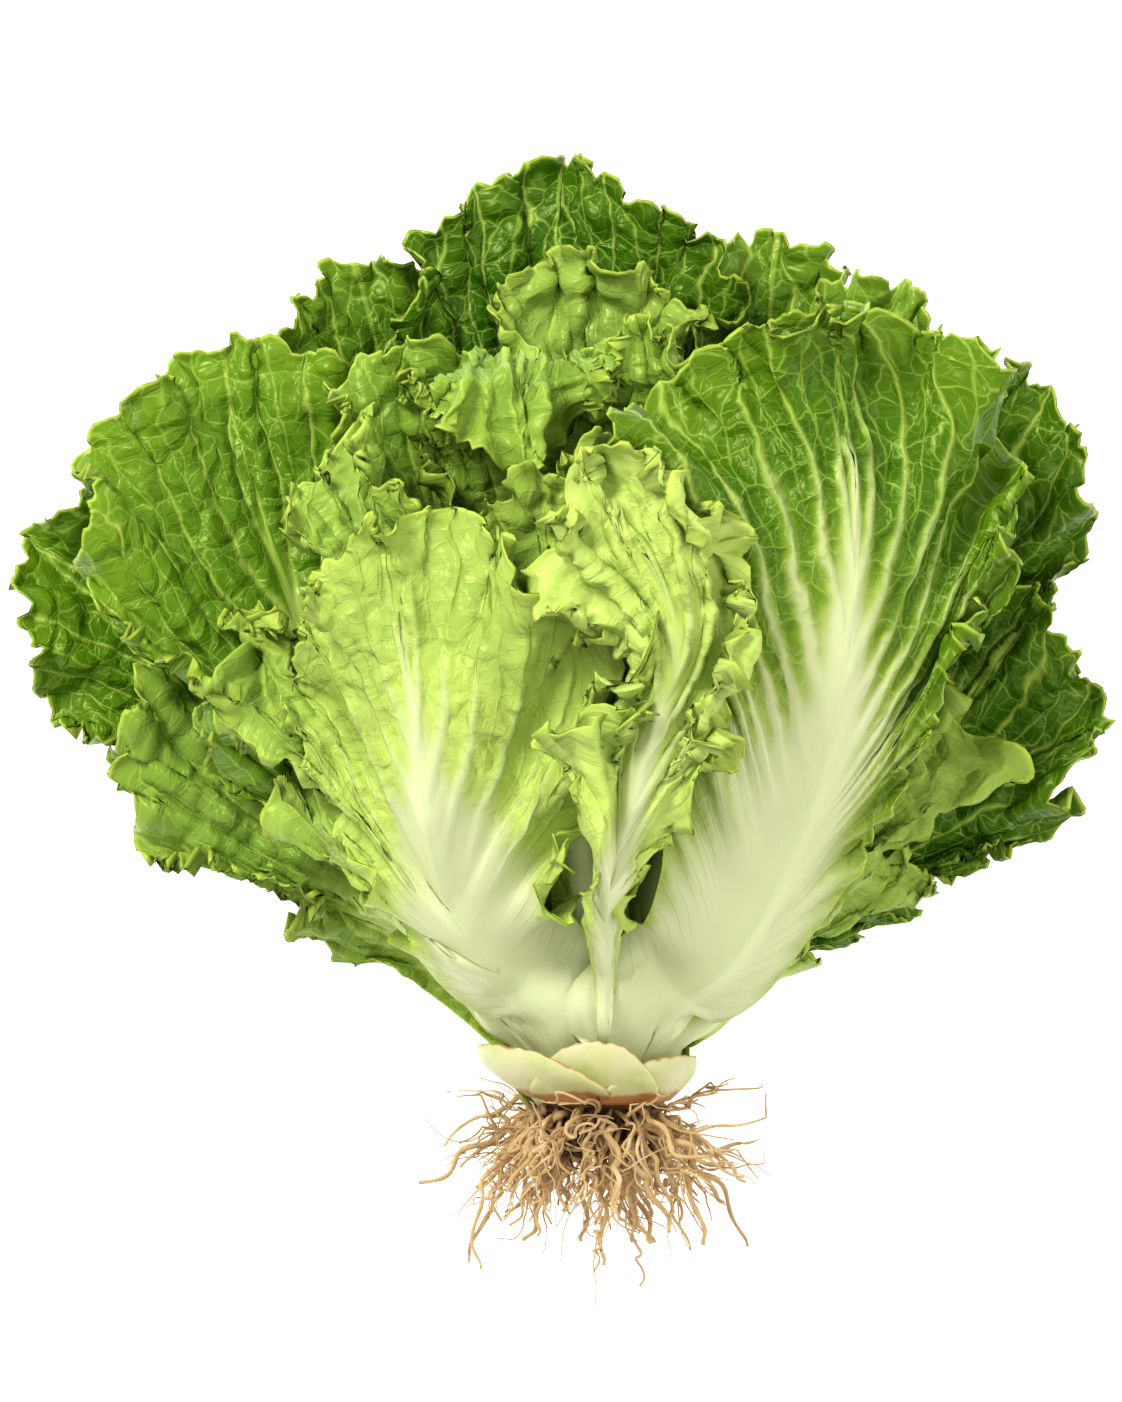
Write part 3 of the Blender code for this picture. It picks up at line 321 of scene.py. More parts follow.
def leaf_surface(leaf, columns, rows, rib_steps, fine):
    """The leaf's middle surface on a grid [2 * rows + 1, columns], and what its skin needs.

    Rows run from the rib to the margin as the side veins do: up the left side, through the tip and
    down the right side. The flat blade is laid on the rib's curve with an arc across it, its margin
    is rolled outwards, and waves that grow towards the margin ruffle it. The fine blade has teeth,
    finer ruffles and swellings between its veins as well.
    """
    rng = np.random.default_rng(leaf.seed)
    rib = rib_points(leaf)
    line, length = curve_through(rib, 2 * rib[0] - rib[1], 2 * rib[-1] - rib[-2], rib_steps)
    left, left_arc = half_outline(leaf.left, length, rows)
    right, right_arc = half_outline(leaf.right, length, rows)
    share = np.linspace(0, 1, rows + 1)
    rib_y = VEIN_REACH * length * np.interp(share, VEIN_ENDS, VEIN_STARTS)
    anchor = np.concatenate([rib_y, rib_y[-2::-1]])
    margin = np.vstack([left * (-1, 1), right[-2::-1]])
    s = np.concatenate([share * left_arc, left_arc + share[1:] * right_arc])
    c = np.asarray(columns)[None, :]

    away = np.column_stack([margin[:, 0], margin[:, 1] - anchor])
    reach = np.linalg.norm(away, axis=1)
    smooth = leaf.smooth_margin if fine else SMOOTH_MARGIN
    ease = smooth_step((np.minimum(s, s[-1] - s) / s[-1] - smooth) / EASED_MARGIN)
    turn = wandering(s, LOBE_WAVE, LOBE_WANDER, *rng.uniform(0, 2 * np.pi, 2))
    lobe = ROUNDED_LOBES * scalloped(turn) if fine else np.sin(turn)
    growth = 1 + (ease * LOBE_HEIGHT * lobe / reach)[:, None] * c**4
    ruffle_turns = [rng.uniform(0, 2 * np.pi, 2) for _ in RUFFLES]
    from_edge = (1 - c) * reach[:, None]
    narrow = np.clip(reach / 0.024, 0.35, 1)[:, None] if fine else 1.0
    waves = []
    for (wave, height, fade), turns in zip(RUFFLES, ruffle_turns):
        waves.append((wave, height, c**fade * narrow, RUFFLE_LEAN, turns))
    if fine:
        for wave, height in TEETH:
            tooth = scalloped(wandering(s, wave, LOBE_WANDER, *rng.uniform(0, 2 * np.pi, 2)))
            growth = growth + (ease * height * tooth / reach)[:, None] * c**12
        for wave, height, depth in FINE_RUFFLES:
            near_edge = np.exp(-from_edge / depth) * smooth_step(c / 0.3) * np.minimum(reach / 0.035, 1)[:, None]
            waves.append((wave, height * leaf.crumple, near_edge, FINE_LEAN, rng.uniform(0, 2 * np.pi, 2)))
    x = margin[:, 0][:, None] * c * growth
    y = anchor[:, None] + away[:, 1][:, None] * c * growth
    if fine:
        clasping = leaf.foot / np.where(x < 0, leaf.left[0], leaf.right[0])
        x = x * (1 + (clasping - 1) * (1 - smooth_step(y / (FOOT_SHARE * length))))
        y = y - FOOT_DEPTH * (1 - smooth_step(y / FOOT_EASE))
    points, rough_normals = place_on_rib(leaf, line, length, x, y)
    if fine:
        narrower = 1 - FOOT_NARROWS * (np.minimum(y, 0) / FOOT_DEPTH) ** 2
        height = points[..., 1] / MM
        start, full, fading, end = BOWL_HEIGHTS
        swell = smooth_step((height - start) / (full - start)) * (1 - smooth_step((height - fading) / (end - fading)))
        radius = np.maximum(np.hypot(points[..., 0], points[..., 2]), 0.001)
        near = 1 - smooth_step((radius - BOWL_RADII[0]) / (BOWL_RADII[1] - BOWL_RADII[0]))
        wider = narrower * (1 + BOWL_PUSH * swell * near * smooth_step(radius / 0.012) / radius)
        points = points * np.stack([wider, np.ones_like(wider), wider], axis=-1)

    along = np.gradient(points, axis=1)
    along /= np.maximum(np.linalg.norm(along, axis=2, keepdims=True), 1e-9)
    left_curl, tip_curl, right_curl = leaf.curl
    rolls = (0, left_curl, left_curl, tip_curl, right_curl, right_curl, 0)
    roll = np.radians(np.interp(s / s[-1], ROLL_ENDS, rolls))
    strip = ROLLED_SHARE * reach
    inside = np.maximum(0, strip[:, None] - (1 - c) * reach[:, None])
    radius = (strip / np.maximum(roll, 1e-3))[:, None]
    points = points + rough_normals * (radius * (1 - np.cos(inside / radius)))[..., None]
    points = points - along * (inside - radius * np.sin(inside / radius))[..., None]

    normals = grid_normals(points, rough_normals)
    tangent = np.gradient(points, axis=0)
    tangent /= np.maximum(np.linalg.norm(tangent, axis=2, keepdims=True), 1e-9)
    for wave, height, fade, bending, (phase, drift) in waves:
        turn = wandering(s, wave, RUFFLE_WANDER, phase, drift)
        swell = 1 + RUFFLE_SWELL[0] * np.sin(2 * np.pi * s / (RUFFLE_SWELL[1] * wave) + 2 * drift)
        amount = leaf.ruffle * ease[:, None] * fade
        lift = height * (swell * np.sin(turn))[:, None] * amount
        lean = -bending * wave / (2 * np.pi) * np.sin(2 * turn)[:, None] * amount
        points = points + normals * lift[..., None] + tangent * lean[..., None]

    up = y / length
    other_side = np.where(s < left_arc, 0.0, 0.4 * leaf.spacing)
    strand = (np.minimum(s, s[-1] - s) + other_side)[:, None] + VEIN_LEAN * (1 - c) ** 1.2 * reach[:, None]
    if fine:
        width = np.hypot(np.gradient(x, axis=0), np.gradient(y, axis=0)) / np.gradient(s)[:, None]
        beside_vein = np.abs((strand / leaf.spacing) % 1 - 0.5) * leaf.spacing * width
        vein_half = 0.0009 * (1 - 0.6 * c)
        vein = np.exp(-((beside_vein / vein_half) ** 2)) * smooth_step(c / 0.10)
        between = 1 - np.exp(-((beside_vein / (0.16 * leaf.spacing)) ** 2))
        smooth_to = SMOOTH_FOOT[0] + SMOOTH_FOOT[1] * leaf.pale
        vein = vein * smooth_step((up - smooth_to) / 0.25)
        puff = PUFF * leaf.crumple * between * smooth_step(c / 0.30) * smooth_step((up - smooth_to) / 0.3)
        for number, (size, height) in enumerate(BLISTERS):
            swelling = leaf.crumple * height * blistered(x, y, size, leaf.seed + 50 * number)
            puff = puff + swelling * smooth_step((c - 0.10) / 0.4) * smooth_step((up - smooth_to) / 0.3)
        normals = grid_normals(points, normals)
        points = points - normals * puff[..., None]
    else:
        vein = np.zeros_like(x)
    extras = {"x": x, "y": y, "s": strand, "c": c + 0 * x, "up": up, "vein": vein,
              "from_edge": from_edge, "normals": rough_normals}
    return points + CROWN, extras


# How the leaves lie on the surface and on each other.
# The lowest are pressed flat by the head's weight, and every other leaf rests on those under it.
FLOOR_BLEND = 0.004
FLOOR_DIP = 0.0020
LOWEST_BLADE = 0.0004
CELL = 0.0015
MAP_SIZE = 0.36
CLEARANCE = 0.0012
SMOOTHING_ROUNDS = 2
NESTED = 9
SAMPLES = 12
FINE_CLEARANCE = 0.0004
MOST_FINE_LIFT = 0.004


def above_floor(z):
    """Heights bent so that nothing sinks into the surface; what would is pressed flat on it."""
    return np.maximum(FLOOR_BLEND * np.logaddexp(0, z / FLOOR_BLEND) - FLOOR_DIP, LOWEST_BLADE)


def leaf_cells(rows):
    """The coarse blade's triangles, as (column, row) corners."""
    last = 2 * rows
    triangles = []
    for k in range(len(COLUMNS) - 1):
        wide, narrow = ROW_STEPS[k], ROW_STEPS[k + 1]
        for r in range(0, rows, wide):
            inner = [(k, r), (k, r + wide)]
            outer = [(k + 1, row) for row in range(r, r + wide + 1, narrow)]
            fan = [(inner[0], outer[1], outer[0]), (inner[0], inner[1], outer[1])]
            fan.append((inner[1], outer[2], outer[1]))
            for a, b, d in fan:
                mirrored = [(col, last - row) for col, row in (a, d, b)]
                triangles += [(a, b, d), tuple(mirrored)]
    return triangles


class Sheet:
    """A leaf's coarse middle surface as a triangle mesh, with the height that each point is raised by."""

    def __init__(self, leaf):
        self.leaf = leaf
        triangles = leaf_cells(leaf.rows)
        last = 2 * leaf.rows

        def welded(corner):
            column, row = corner
            return (column, min(row, last - row)) if column == 0 else corner

        names = sorted({welded(corner) for triangle in triangles for corner in triangle})
        number = {name: i for i, name in enumerate(names)}
        self.triangles = np.array([[number[welded(corner)] for corner in corners] for corners in triangles])
        self.column = np.array([column for column, row in names])
        self.row = np.array([row for column, row in names])
        surface, _ = leaf_surface(leaf, COLUMNS, leaf.rows, 60, False)
        surface[..., 2] = above_floor(surface[..., 2])
        self.points = surface[self.row, self.column]
        self.up_the_rib = np.minimum(self.row, last - self.row) / leaf.rows
        self.lift = np.zeros(len(self.points))

    def normals(self):
        """Area-weighted normals at the points."""
        corners = self.points[self.triangles]
        flat = np.cross(corners[:, 1] - corners[:, 0], corners[:, 2] - corners[:, 0])
        n = np.zeros_like(self.points)
        for k in range(3):
            np.add.at(n, self.triangles[:, k], flat)
        return n / np.linalg.norm(n, axis=1, keepdims=True)

    def rib_height(self):
        """What the midrib adds to the blade: most at the base, none at the margin."""
        along = np.clip(1 - RIB_FADE * self.up_the_rib, RIB_LEAST, 1)
        return RIB_THICKNESS * along * np.array(RIB_ACROSS)[self.column]

    def raise_by(self, need):
        """Raises the points by a smooth amount that is nowhere under what each one needs."""
        weight = resting(self.leaf, self.points)
        need = np.maximum(need, 0)
        lift = need
        ends = np.vstack([self.triangles[:, [0, 1]], self.triangles[:, [1, 2]], self.triangles[:, [2, 0]]])
        count = np.bincount(ends.ravel(), minlength=len(lift))
        for _ in range(SMOOTHING_ROUNDS):
            total = np.zeros_like(lift)
            np.add.at(total, ends[:, 0], lift[ends[:, 1]])
            np.add.at(total, ends[:, 1], lift[ends[:, 0]])
            lift = np.maximum(need, weight * (0.5 * lift + 0.5 * total / count))
        self.points[:, 2] += lift
        self.lift = lift

    def lift_at(self, t, c):
        """The lift at row shares t, 0 to 2 round the margin, and columns c, between the points'."""
        share = self.row / self.leaf.rows
        at_column = []
        for k in range(len(COLUMNS)):
            here = self.column == k
            order = np.argsort(share[here])
            where = np.minimum(t, 2 - t) if k == 0 else t
            at_column.append(np.interp(where, share[here][order], self.lift[here][order]))
        lower = np.clip((c * (len(COLUMNS) - 1)).astype(int), 0, len(COLUMNS) - 2)
        part = c * (len(COLUMNS) - 1) - lower
        columns = np.column_stack(at_column)
        return columns[:, lower] * (1 - part) + columns[:, lower + 1] * part


def resting(leaf, points):
    """0 at a leaf's base, which keeps its place on the stem, and 1 where it lies on others."""
    return smooth_step(((points[..., 1] - CROWN[1]) / MM - leaf.start[2]) / NESTED)


class HeightMap:
    """The top of everything laid down so far, in square cells seen from above."""

    def __init__(self):
        self.side = round(MAP_SIZE / CELL)
        self.top = np.zeros((self.side, self.side))

    def cells(self, points):
        index = np.floor((points[..., :2] + MAP_SIZE / 2) / CELL).astype(int)
        return tuple(np.moveaxis(np.clip(index, 0, self.side - 1), -1, 0))

    def under(self, points, reach=1):
        """The highest top in the cell of each point and in those within reach of it."""
        padded = np.pad(self.top, reach)
        shifts = [(i, j) for i in range(2 * reach + 1) for j in range(2 * reach + 1)]
        spread = np.max([padded[i:i + self.side, j:j + self.side] for i, j in shifts], axis=0)
        return spread[self.cells(points)]

    def add(self, points, extra):
        np.maximum.at(self.top, self.cells(points), points[..., 2] + extra)


def samples_of(points, triangles):
    """Points spread over each triangle, as an array [triangles, samples, 3], and their weights."""
    weights = [(i, j, SAMPLES - i - j) for i in range(SAMPLES + 1) for j in range(SAMPLES + 1 - i)]
    weights = np.array(weights) / SAMPLES
    return np.einsum("sk,tkx->tsx", weights, points[triangles]), weights


def lay_on(heights, sheet):
    """Lays a coarse leaf on those already down, raised where it would pass through them."""
    middle = np.radians(sheet.leaf.facing[1])
    outward = np.array([np.sin(middle), 0, np.cos(middle)])
    sign = 1.0 if (sheet.normals() @ outward).sum() > 0 else -1.0
    upward = sheet.normals()[:, 2] * sign > 0
    rib = sheet.rib_height()
    above, below = np.where(upward, rib, 0), np.where(upward, 0, rib)
    spots, weights = samples_of(sheet.points, sheet.triangles)
    space = BLADE_THICKNESS + CLEARANCE + below[sheet.triangles] @ weights.T
    short = ((heights.under(spots) + space - spots[..., 2]) * resting(sheet.leaf, spots)).max(axis=1)
    short = np.where(heights.under(spots).max(axis=1) > 0, short, 0)
    need = np.zeros(len(sheet.points))
    for k in range(3):
        np.maximum.at(need, sheet.triangles[:, k], short)
    sheet.raise_by(need)
    spots, weights = samples_of(sheet.points, sheet.triangles)
    heights.add(spots, above[sheet.triangles] @ weights.T)


def settle(heights, leaf, points):
    """Raises a fine blade a little where its own ruffles would pass through those already down."""
    need = (heights.under(points, 0) + BLADE_THICKNESS + FINE_CLEARANCE - points[..., 2])
    need = np.clip(need * resting(leaf, points), 0, MOST_FINE_LIFT)
    lift = need
    for _ in range(3):
        padded = np.pad(lift, 1, mode="edge")
        around = (padded[:-2, 1:-1] + padded[2:, 1:-1] + padded[1:-1, :-2] + padded[1:-1, 2:]) / 4
        lift = np.maximum(need, 0.3 * lift + 0.7 * around)
    points[..., 2] += lift


# A leaf's mesh: a closed shell with an outer and an inner face.
# The middle of the blade needs fewer rows than its margin, so rows drop out towards the rib.
def blade_corners(rows, steps):
    """Triangle corners of the blade as arrays of columns and rows, three to a triangle."""
    last = 2 * rows
    found = []
    for k, (wide, narrow) in enumerate(zip(steps, steps[1:])):
        r = np.arange(0, rows, wide)
        inner_a, inner_b = (k + 0 * r, r), (k + 0 * r, r + wide)
        outer = [(k + 1 + 0 * r, r + step) for step in range(0, wide + 1, narrow)]
        if wide == narrow:
            fan = [(inner_a, outer[1], outer[0]), (inner_a, inner_b, outer[1])]
        else:
            fan = [(inner_a, outer[1], outer[0]), (inner_a, inner_b, outer[1]), (inner_b, outer[2], outer[1])]
        for a, b, d in fan:
            left = np.array([a, b, d])
            right = np.array([a, d, b])
            right[:, 1] = last - right[:, 1]
            found += [left.transpose(2, 0, 1), right.transpose(2, 0, 1)]
    corners = np.concatenate(found)
    return corners[..., 0], corners[..., 1]


def leaf_mesh(leaf, points, extras, rows, steps):
    """The closed shell as a mesh with its UV maps and attributes."""
    last = 2 * rows
    column, row = blade_corners(rows, steps)
    welded = np.where(column == 0, np.minimum(row, last - row), row)
    keys, inverse = np.unique(column * (last + 1) + welded, return_inverse=True)
    vertex_column, vertex_row = keys // (last + 1), keys % (last + 1)
    triangles = inverse.reshape(-1, 3)
    count = len(keys)

    normals = grid_normals(points, extras["normals"])
    normals[:, 0] += normals[::-1, 0]
    normals[:, 0] /= np.linalg.norm(normals[:, 0], axis=1, keepdims=True)
    base, tip = RIB_HALF_WIDTH
    half_width = base + (tip - base) * np.clip(extras["up"], 0, 1)
    rib = np.exp(-((extras["x"] / half_width) ** 2)) * np.clip(1 - RIB_FADE * extras["up"], RIB_LEAST, 1)
    raised = leaf.rib_size * RIB_THICKNESS * rib + VEIN_HEIGHT * extras["vein"] * (1 - 0.7 * extras["c"])
    thin = BLADE_THICKNESS * (1 - 0.45 * extras["c"] ** 6) / 2
    outer = points + normals * (thin + raised)[..., None]
    inner = points - normals * (thin - 0.25 * VEIN_HEIGHT * extras["vein"])[..., None]
    vertices = np.vstack([outer[vertex_row, vertex_column], inner[vertex_row, vertex_column]])
    vertices[:, 2] = np.maximum(vertices[:, 2], 0)

    number = np.full(len(steps) * (last + 1), -1)
    number[keys] = np.arange(count)
    top = len(steps) - 1
    edge = [top * (last + 1) + r for r in range(last + 1)]
    edge += [k * (last + 1) + last for k in range(top - 1, 0, -1)]
    edge += [k * (last + 1) for k in range(top)]
    edge_keys = np.array(edge)
    a, b = number[edge_keys], np.roll(number[edge_keys], -1)
    a_key, b_key = edge_keys, np.roll(edge_keys, -1)

    corner = vertices[:count][triangles]
    flat = np.cross(corner[:, 1] - corner[:, 0], corner[:, 2] - corner[:, 0])
    sign = np.sum(flat * normals[vertex_row, vertex_column][triangles[:, 0]])
    corner_keys = column * (last + 1) + row
    rim = np.vstack([np.column_stack([a, b, b + count]), np.column_stack([a, b + count, a + count])])
    rim_keys = np.vstack([np.column_stack([a_key, b_key, b_key]), np.column_stack([a_key, b_key, a_key])])
    if sign < 0:
        triangles, corner_keys = triangles[:, ::-1], corner_keys[:, ::-1]
        rim, rim_keys = rim[:, ::-1], rim_keys[:, ::-1]
    faces = np.vstack([triangles, triangles[:, ::-1] + count, rim])
    face_keys = np.vstack([corner_keys, corner_keys[:, ::-1], rim_keys])
    mesh = mesh_of(leaf.name, vertices, faces)
    at_row, at_column = face_keys.ravel() % (last + 1), face_keys.ravel() // (last + 1)
    for name, first, second in (("flat", "x", "y"), ("veins", "s", "c")):
        uv = np.column_stack([extras[first][at_row, at_column], extras[second][at_row, at_column]])
        mesh.uv_layers.new(name=name).data.foreach_set("uv", uv.astype(np.float32).ravel())
    for name in ("from_edge", "up"):
        values = extras[name][vertex_row, vertex_column]
        add_values(mesh, name, np.concatenate([values, values]))
    add_values(mesh, "outer", np.repeat([1.0, 0.0], count))
    return mesh


def mesh_of(name, vertices, faces):
    """A smooth-shaded mesh from arrays of points and of triangles or quads."""
    mesh = bpy.data.meshes.new(name)
    mesh.vertices.add(len(vertices))
    mesh.vertices.foreach_set("co", np.asarray(vertices, np.float32).ravel())
    corners = faces.shape[1]
    mesh.loops.add(faces.size)
    mesh.loops.foreach_set("vertex_index", faces.ravel().astype(np.int32))
    mesh.polygons.add(len(faces))
    mesh.polygons.foreach_set("loop_start", np.arange(0, faces.size, corners, dtype=np.int32))
    mesh.update(calc_edges=True)
    mesh.shade_smooth()
    return mesh


def add_values(mesh, name, values):
    """A number at each point of the mesh, for the material."""
    mesh.attributes.new(name, "FLOAT", "POINT").data.foreach_set("value", values.astype(np.float32))


def place_piece(name, mesh, material, slot):
    """Puts a finished mesh in the scene in place of the CAD node of the same name."""
    mesh.materials.append(material)
    piece = bpy.data.objects.new(name + "_leaf" if slot.startswith("leaf") else name + "_skin", mesh)
    bpy.context.scene.collection.objects.link(piece)
    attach(piece, "root")
    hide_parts(name)
    return piece


# The leaf's skin.
# Cream to white at the rib's foot, then pale, fresh and deep green towards the margin, with a lighter
# net of veins, a bright rim, and a waxy gloss. Veins stand up on the outer face and sink into the inner.
def add_node(tree, kind, **values):
    """A shader node with the given values or links on its inputs, by name or number."""
    made = tree.nodes.new("ShaderNode" + kind)
    if tree.name == "leaf_skin":
        for pattern in ("noise_dimensions", "voronoi_dimensions"):
            if hasattr(made, pattern):
                setattr(made, pattern, "2D")
    for key, value in values.items():
        set_input(tree, made.inputs[int(key[1:]) if key[0] == "_" else key.replace("_", " ")], value)
    return made


def set_input(tree, socket, value):
    """Links a socket to another one, or gives it a plain value."""
    if isinstance(value, bpy.types.NodeSocket):
        tree.links.new(value, socket)
    else:
        socket.default_value = value


def maths(tree, operation, a, b=0.0, c=0.0):
    """One sum: the named operation on up to three numbers."""
    made = add_node(tree, "Math", _0=a, _1=b, _2=c)
    made.operation = operation
    return made.outputs[0]


def between(tree, value, low, high, to_low=0.0, to_high=1.0):
    """An eased change from to_low to to_high as value goes from low to high."""
    made = add_node(tree, "MapRange", Value=value, From_Min=low, From_Max=high, To_Min=to_low, To_Max=to_high)
    made.interpolation_type = "SMOOTHSTEP"
    return made.outputs[0]


def blend_colours(tree, share, a, b, kind="MIX"):
    """Colour a turned towards colour b by share."""
    made = tree.nodes.new("ShaderNodeMix")
    made.data_type = "RGBA"
    made.blend_type = kind
    for socket, value in ((made.inputs[0], share), (made.inputs[6], a), (made.inputs[7], b)):
        set_input(tree, socket, value)
    return made.outputs[2]


def new_group(name, inputs, outputs):
    """A shader node group with its sockets, and the nodes that stand for its two ends."""
    tree = bpy.data.node_groups.new(name, "ShaderNodeTree")
    for label, kind, value in inputs:
        socket = tree.interface.new_socket(label, in_out="INPUT", socket_type="NodeSocket" + kind)
        socket.default_value = value
    for label, kind in outputs:
        tree.interface.new_socket(label, in_out="OUTPUT", socket_type="NodeSocket" + kind)
    return tree, tree.nodes.new("NodeGroupInput").outputs, tree.nodes.new("NodeGroupOutput").inputs


def leaf_skin():
    """The group that works out a leaf's colour, gloss and relief from its UV maps and attributes."""
    inputs = (("Pale", "Float", 0.3), ("Dark", "Float", 0.5), ("Yellow", "Float", 0.3),
              ("Spacing", "Float", 0.0165), ("Rib", "Float", 1.0))
    outputs = (("Colour", "Color"), ("Roughness", "Float"), ("Height", "Float"))
    tree, given, out = new_group("leaf_skin", inputs, outputs)

    flat = add_node(tree, "UVMap")
    flat.uv_map = "flat"
    veins = add_node(tree, "UVMap")
    veins.uv_map = "veins"
    split = add_node(tree, "SeparateXYZ", Vector=veins.outputs[0]).outputs
    split_flat = add_node(tree, "SeparateXYZ", Vector=flat.outputs[0]).outputs
    s, c, x = split[0], split[1], split_flat[0]
    attribute = {}
    for name in ("from_edge", "up", "outer"):
        made = add_node(tree, "Attribute")
        made.attribute_name = name
        attribute[name] = made.outputs["Fac"]
    up, outer = attribute["up"], attribute["outer"]

    # How green: from the pale foot to the margin, in uneven patches, and further down between side veins, partly the
    # leaf's own pattern and partly painted shade in the valleys between them
    patches = add_node(tree, "TexNoise", Vector=flat.outputs[0], Scale=45.0, Detail=3.0).outputs["Fac"]
    reach = maths(tree, "MULTIPLY_ADD", up, 0.9, maths(tree, "MULTIPLY", c, 0.5))
    reach = maths(tree, "ADD", reach, maths(tree, "MULTIPLY", maths(tree, "SUBTRACT", patches, 0.5), 0.25))
    wobble = add_node(tree, "TexNoise", Vector=flat.outputs[0], Scale=42.0, Detail=3.0).outputs["Fac"]
    spacing = given["Spacing"]
    turn = maths(tree, "ADD", maths(tree, "DIVIDE", s, spacing), maths(tree, "MULTIPLY_ADD", wobble, 0.8, -0.4))
    width = maths(tree, "MULTIPLY", maths(tree, "MULTIPLY_ADD", c, 0.7, 0.3), spacing)

    def line_mask(position, spread, half_width):
        off = maths(tree, "ABSOLUTE", maths(tree, "SUBTRACT", maths(tree, "FRACT", position), 0.5))
        return between(tree, maths(tree, "MULTIPLY", off, spread), 0.0, half_width, 1.0, 0.0)

    bare = maths(tree, "MULTIPLY_ADD", given["Pale"], 0.36, 0.08)
    vein = line_mask(turn, width, maths(tree, "MULTIPLY_ADD", c, -0.0014, 0.0021))
    # Painted shade: the blade between the side veins is drawn a deeper green for the shadow in those valleys, on top of
    # the leaf's own green reaching further down between its pale veins
    shaded_valley = maths(tree, "SUBTRACT", 1.0, line_mask(turn, spacing, maths(tree, "MULTIPLY", spacing, 0.42)))
    shaded_valley = maths(tree, "MULTIPLY", shaded_valley, between(tree, c, 0.04, 0.25))
    shaded_valley = maths(tree, "MULTIPLY", shaded_valley, between(tree, up, bare, maths(tree, "ADD", bare, 0.30), 0.25, 1.0))
    # How deep that painted valley shade goes: more on a dark leaf
    valley_shade_depth = maths(tree, "MINIMUM", maths(tree, "MULTIPLY_ADD", given["Dark"], 0.30, 0.08), 0.25)
    reach = maths(tree, "MULTIPLY_ADD", shaded_valley, valley_shade_depth, reach)
    start = maths(tree, "SUBTRACT", given["Pale"], 0.25)
    green = between(tree, reach, start, maths(tree, "ADD", given["Pale"], 0.42))
    vein = maths(tree, "MULTIPLY", vein, between(tree, up, bare, maths(tree, "ADD", bare, 0.25)))

    # The side veins' forks near the margin, and the net between them
    fork = line_mask(maths(tree, "MULTIPLY_ADD", turn, 2.0, 0.5), maths(tree, "MULTIPLY", width, 0.5), 0.0006)
    fork = maths(tree, "MULTIPLY", fork, between(tree, c, 0.25, 0.6, 0.0, 0.7))
    warp = add_node(tree, "TexNoise", Vector=flat.outputs[0], Scale=160.0, Detail=1.0).outputs["Color"]
    warped = add_node(tree, "VectorMath", _0=warp, _1=(0.004, 0.004, 0.0), _2=flat.outputs[0])
    warped.operation = "MULTIPLY_ADD"

    def net_mask(cell, half_width):
        cells = add_node(tree, "TexVoronoi", Vector=warped.outputs[0], Scale=1 / cell, Randomness=0.9)
        cells.feature = "DISTANCE_TO_EDGE"
        distance = cells.outputs["Distance"]
        return between(tree, distance, 0.0, half_width, 1.0, 0.0), between(tree, distance, 0.0, 0.4)

    net, cushion = net_mask(0.0090, 0.036)
    fine_net, _ = net_mask(0.0030, 0.10)
    blade = maths(tree, "MULTIPLY", between(tree, green, 0.15, 0.6), between(tree, c, 0.02, 0.2))
    net = maths(tree, "MULTIPLY", net, blade)
    fine_net = maths(tree, "MULTIPLY", fine_net, blade)
    rib_width = maths(tree, "MAXIMUM", maths(tree, "MULTIPLY_ADD", up, -0.0046, 0.0046), 0.0006)
    off_rib = maths(tree, "ABSOLUTE", x)
    rib = between(tree, maths(tree, "DIVIDE", off_rib, rib_width), 0.45, 1.0, 1.0, 0.0)
    drawn = maths(tree, "MAXIMUM", maths(tree, "MAXIMUM", vein, maths(tree, "MULTIPLY", fork, 0.8)),
                  maths(tree, "MULTIPLY", net, 0.60))

    # Colour
    ramp = add_node(tree, "ValToRGB", Fac=green)
    stops = ((0.0, (0.78, 0.81, 0.46)), (0.30, (0.52, 0.64, 0.15)), (0.62, (0.34, 0.52, 0.03)),
             (1.0, (0.10, 0.245, 0.001)))
    while len(ramp.color_ramp.elements) < len(stops):
        ramp.color_ramp.elements.new(0.5)
    for element, (position, colour) in zip(ramp.color_ramp.elements, stops):
        element.position = position
        element.color = (*colour, 1)
    deep = maths(tree, "MULTIPLY", given["Dark"], green)
    colour = blend_colours(tree, deep, ramp.outputs[0], (0.010, 0.074, 0.0003, 1))
    margin = maths(tree, "MULTIPLY", green, between(tree, c, 0.55, 1.0, 0.0, 0.40))
    margin = maths(tree, "MULTIPLY", margin, maths(tree, "MULTIPLY_ADD", given["Dark"], -0.7, 1.0))
    colour = blend_colours(tree, margin, colour, (0.30, 0.46, 0.02, 1))
    yellow = maths(tree, "MULTIPLY", given["Yellow"], between(tree, green, 0.05, 0.5, 0.0, 0.75))
    colour = blend_colours(tree, yellow, colour, (0.66, 0.82, 0.18, 1))
    inner_shade = maths(tree, "MULTIPLY", maths(tree, "SUBTRACT", 1.0, outer), 0.25)
    colour = blend_colours(tree, maths(tree, "MULTIPLY", inner_shade, green), colour, (0.07, 0.20, 0.001, 1))
    vein_colour = blend_colours(tree, green, (0.76, 0.81, 0.44, 1), (0.40, 0.56, 0.07, 1))
    vein_share = maths(tree, "MULTIPLY", drawn, between(tree, green, 0.0, 1.0, 0.5, 0.85))
    colour = blend_colours(tree, vein_share, colour, vein_colour)
    colour = blend_colours(tree, maths(tree, "MULTIPLY", fine_net, 0.18), colour, vein_colour)
    rib = maths(tree, "MULTIPLY", maths(tree, "MULTIPLY", rib, given["Rib"]), between(tree, up, 0.3, 1.0, 0.95, 0.55))
    colour = blend_colours(tree, rib, colour, vein_colour)
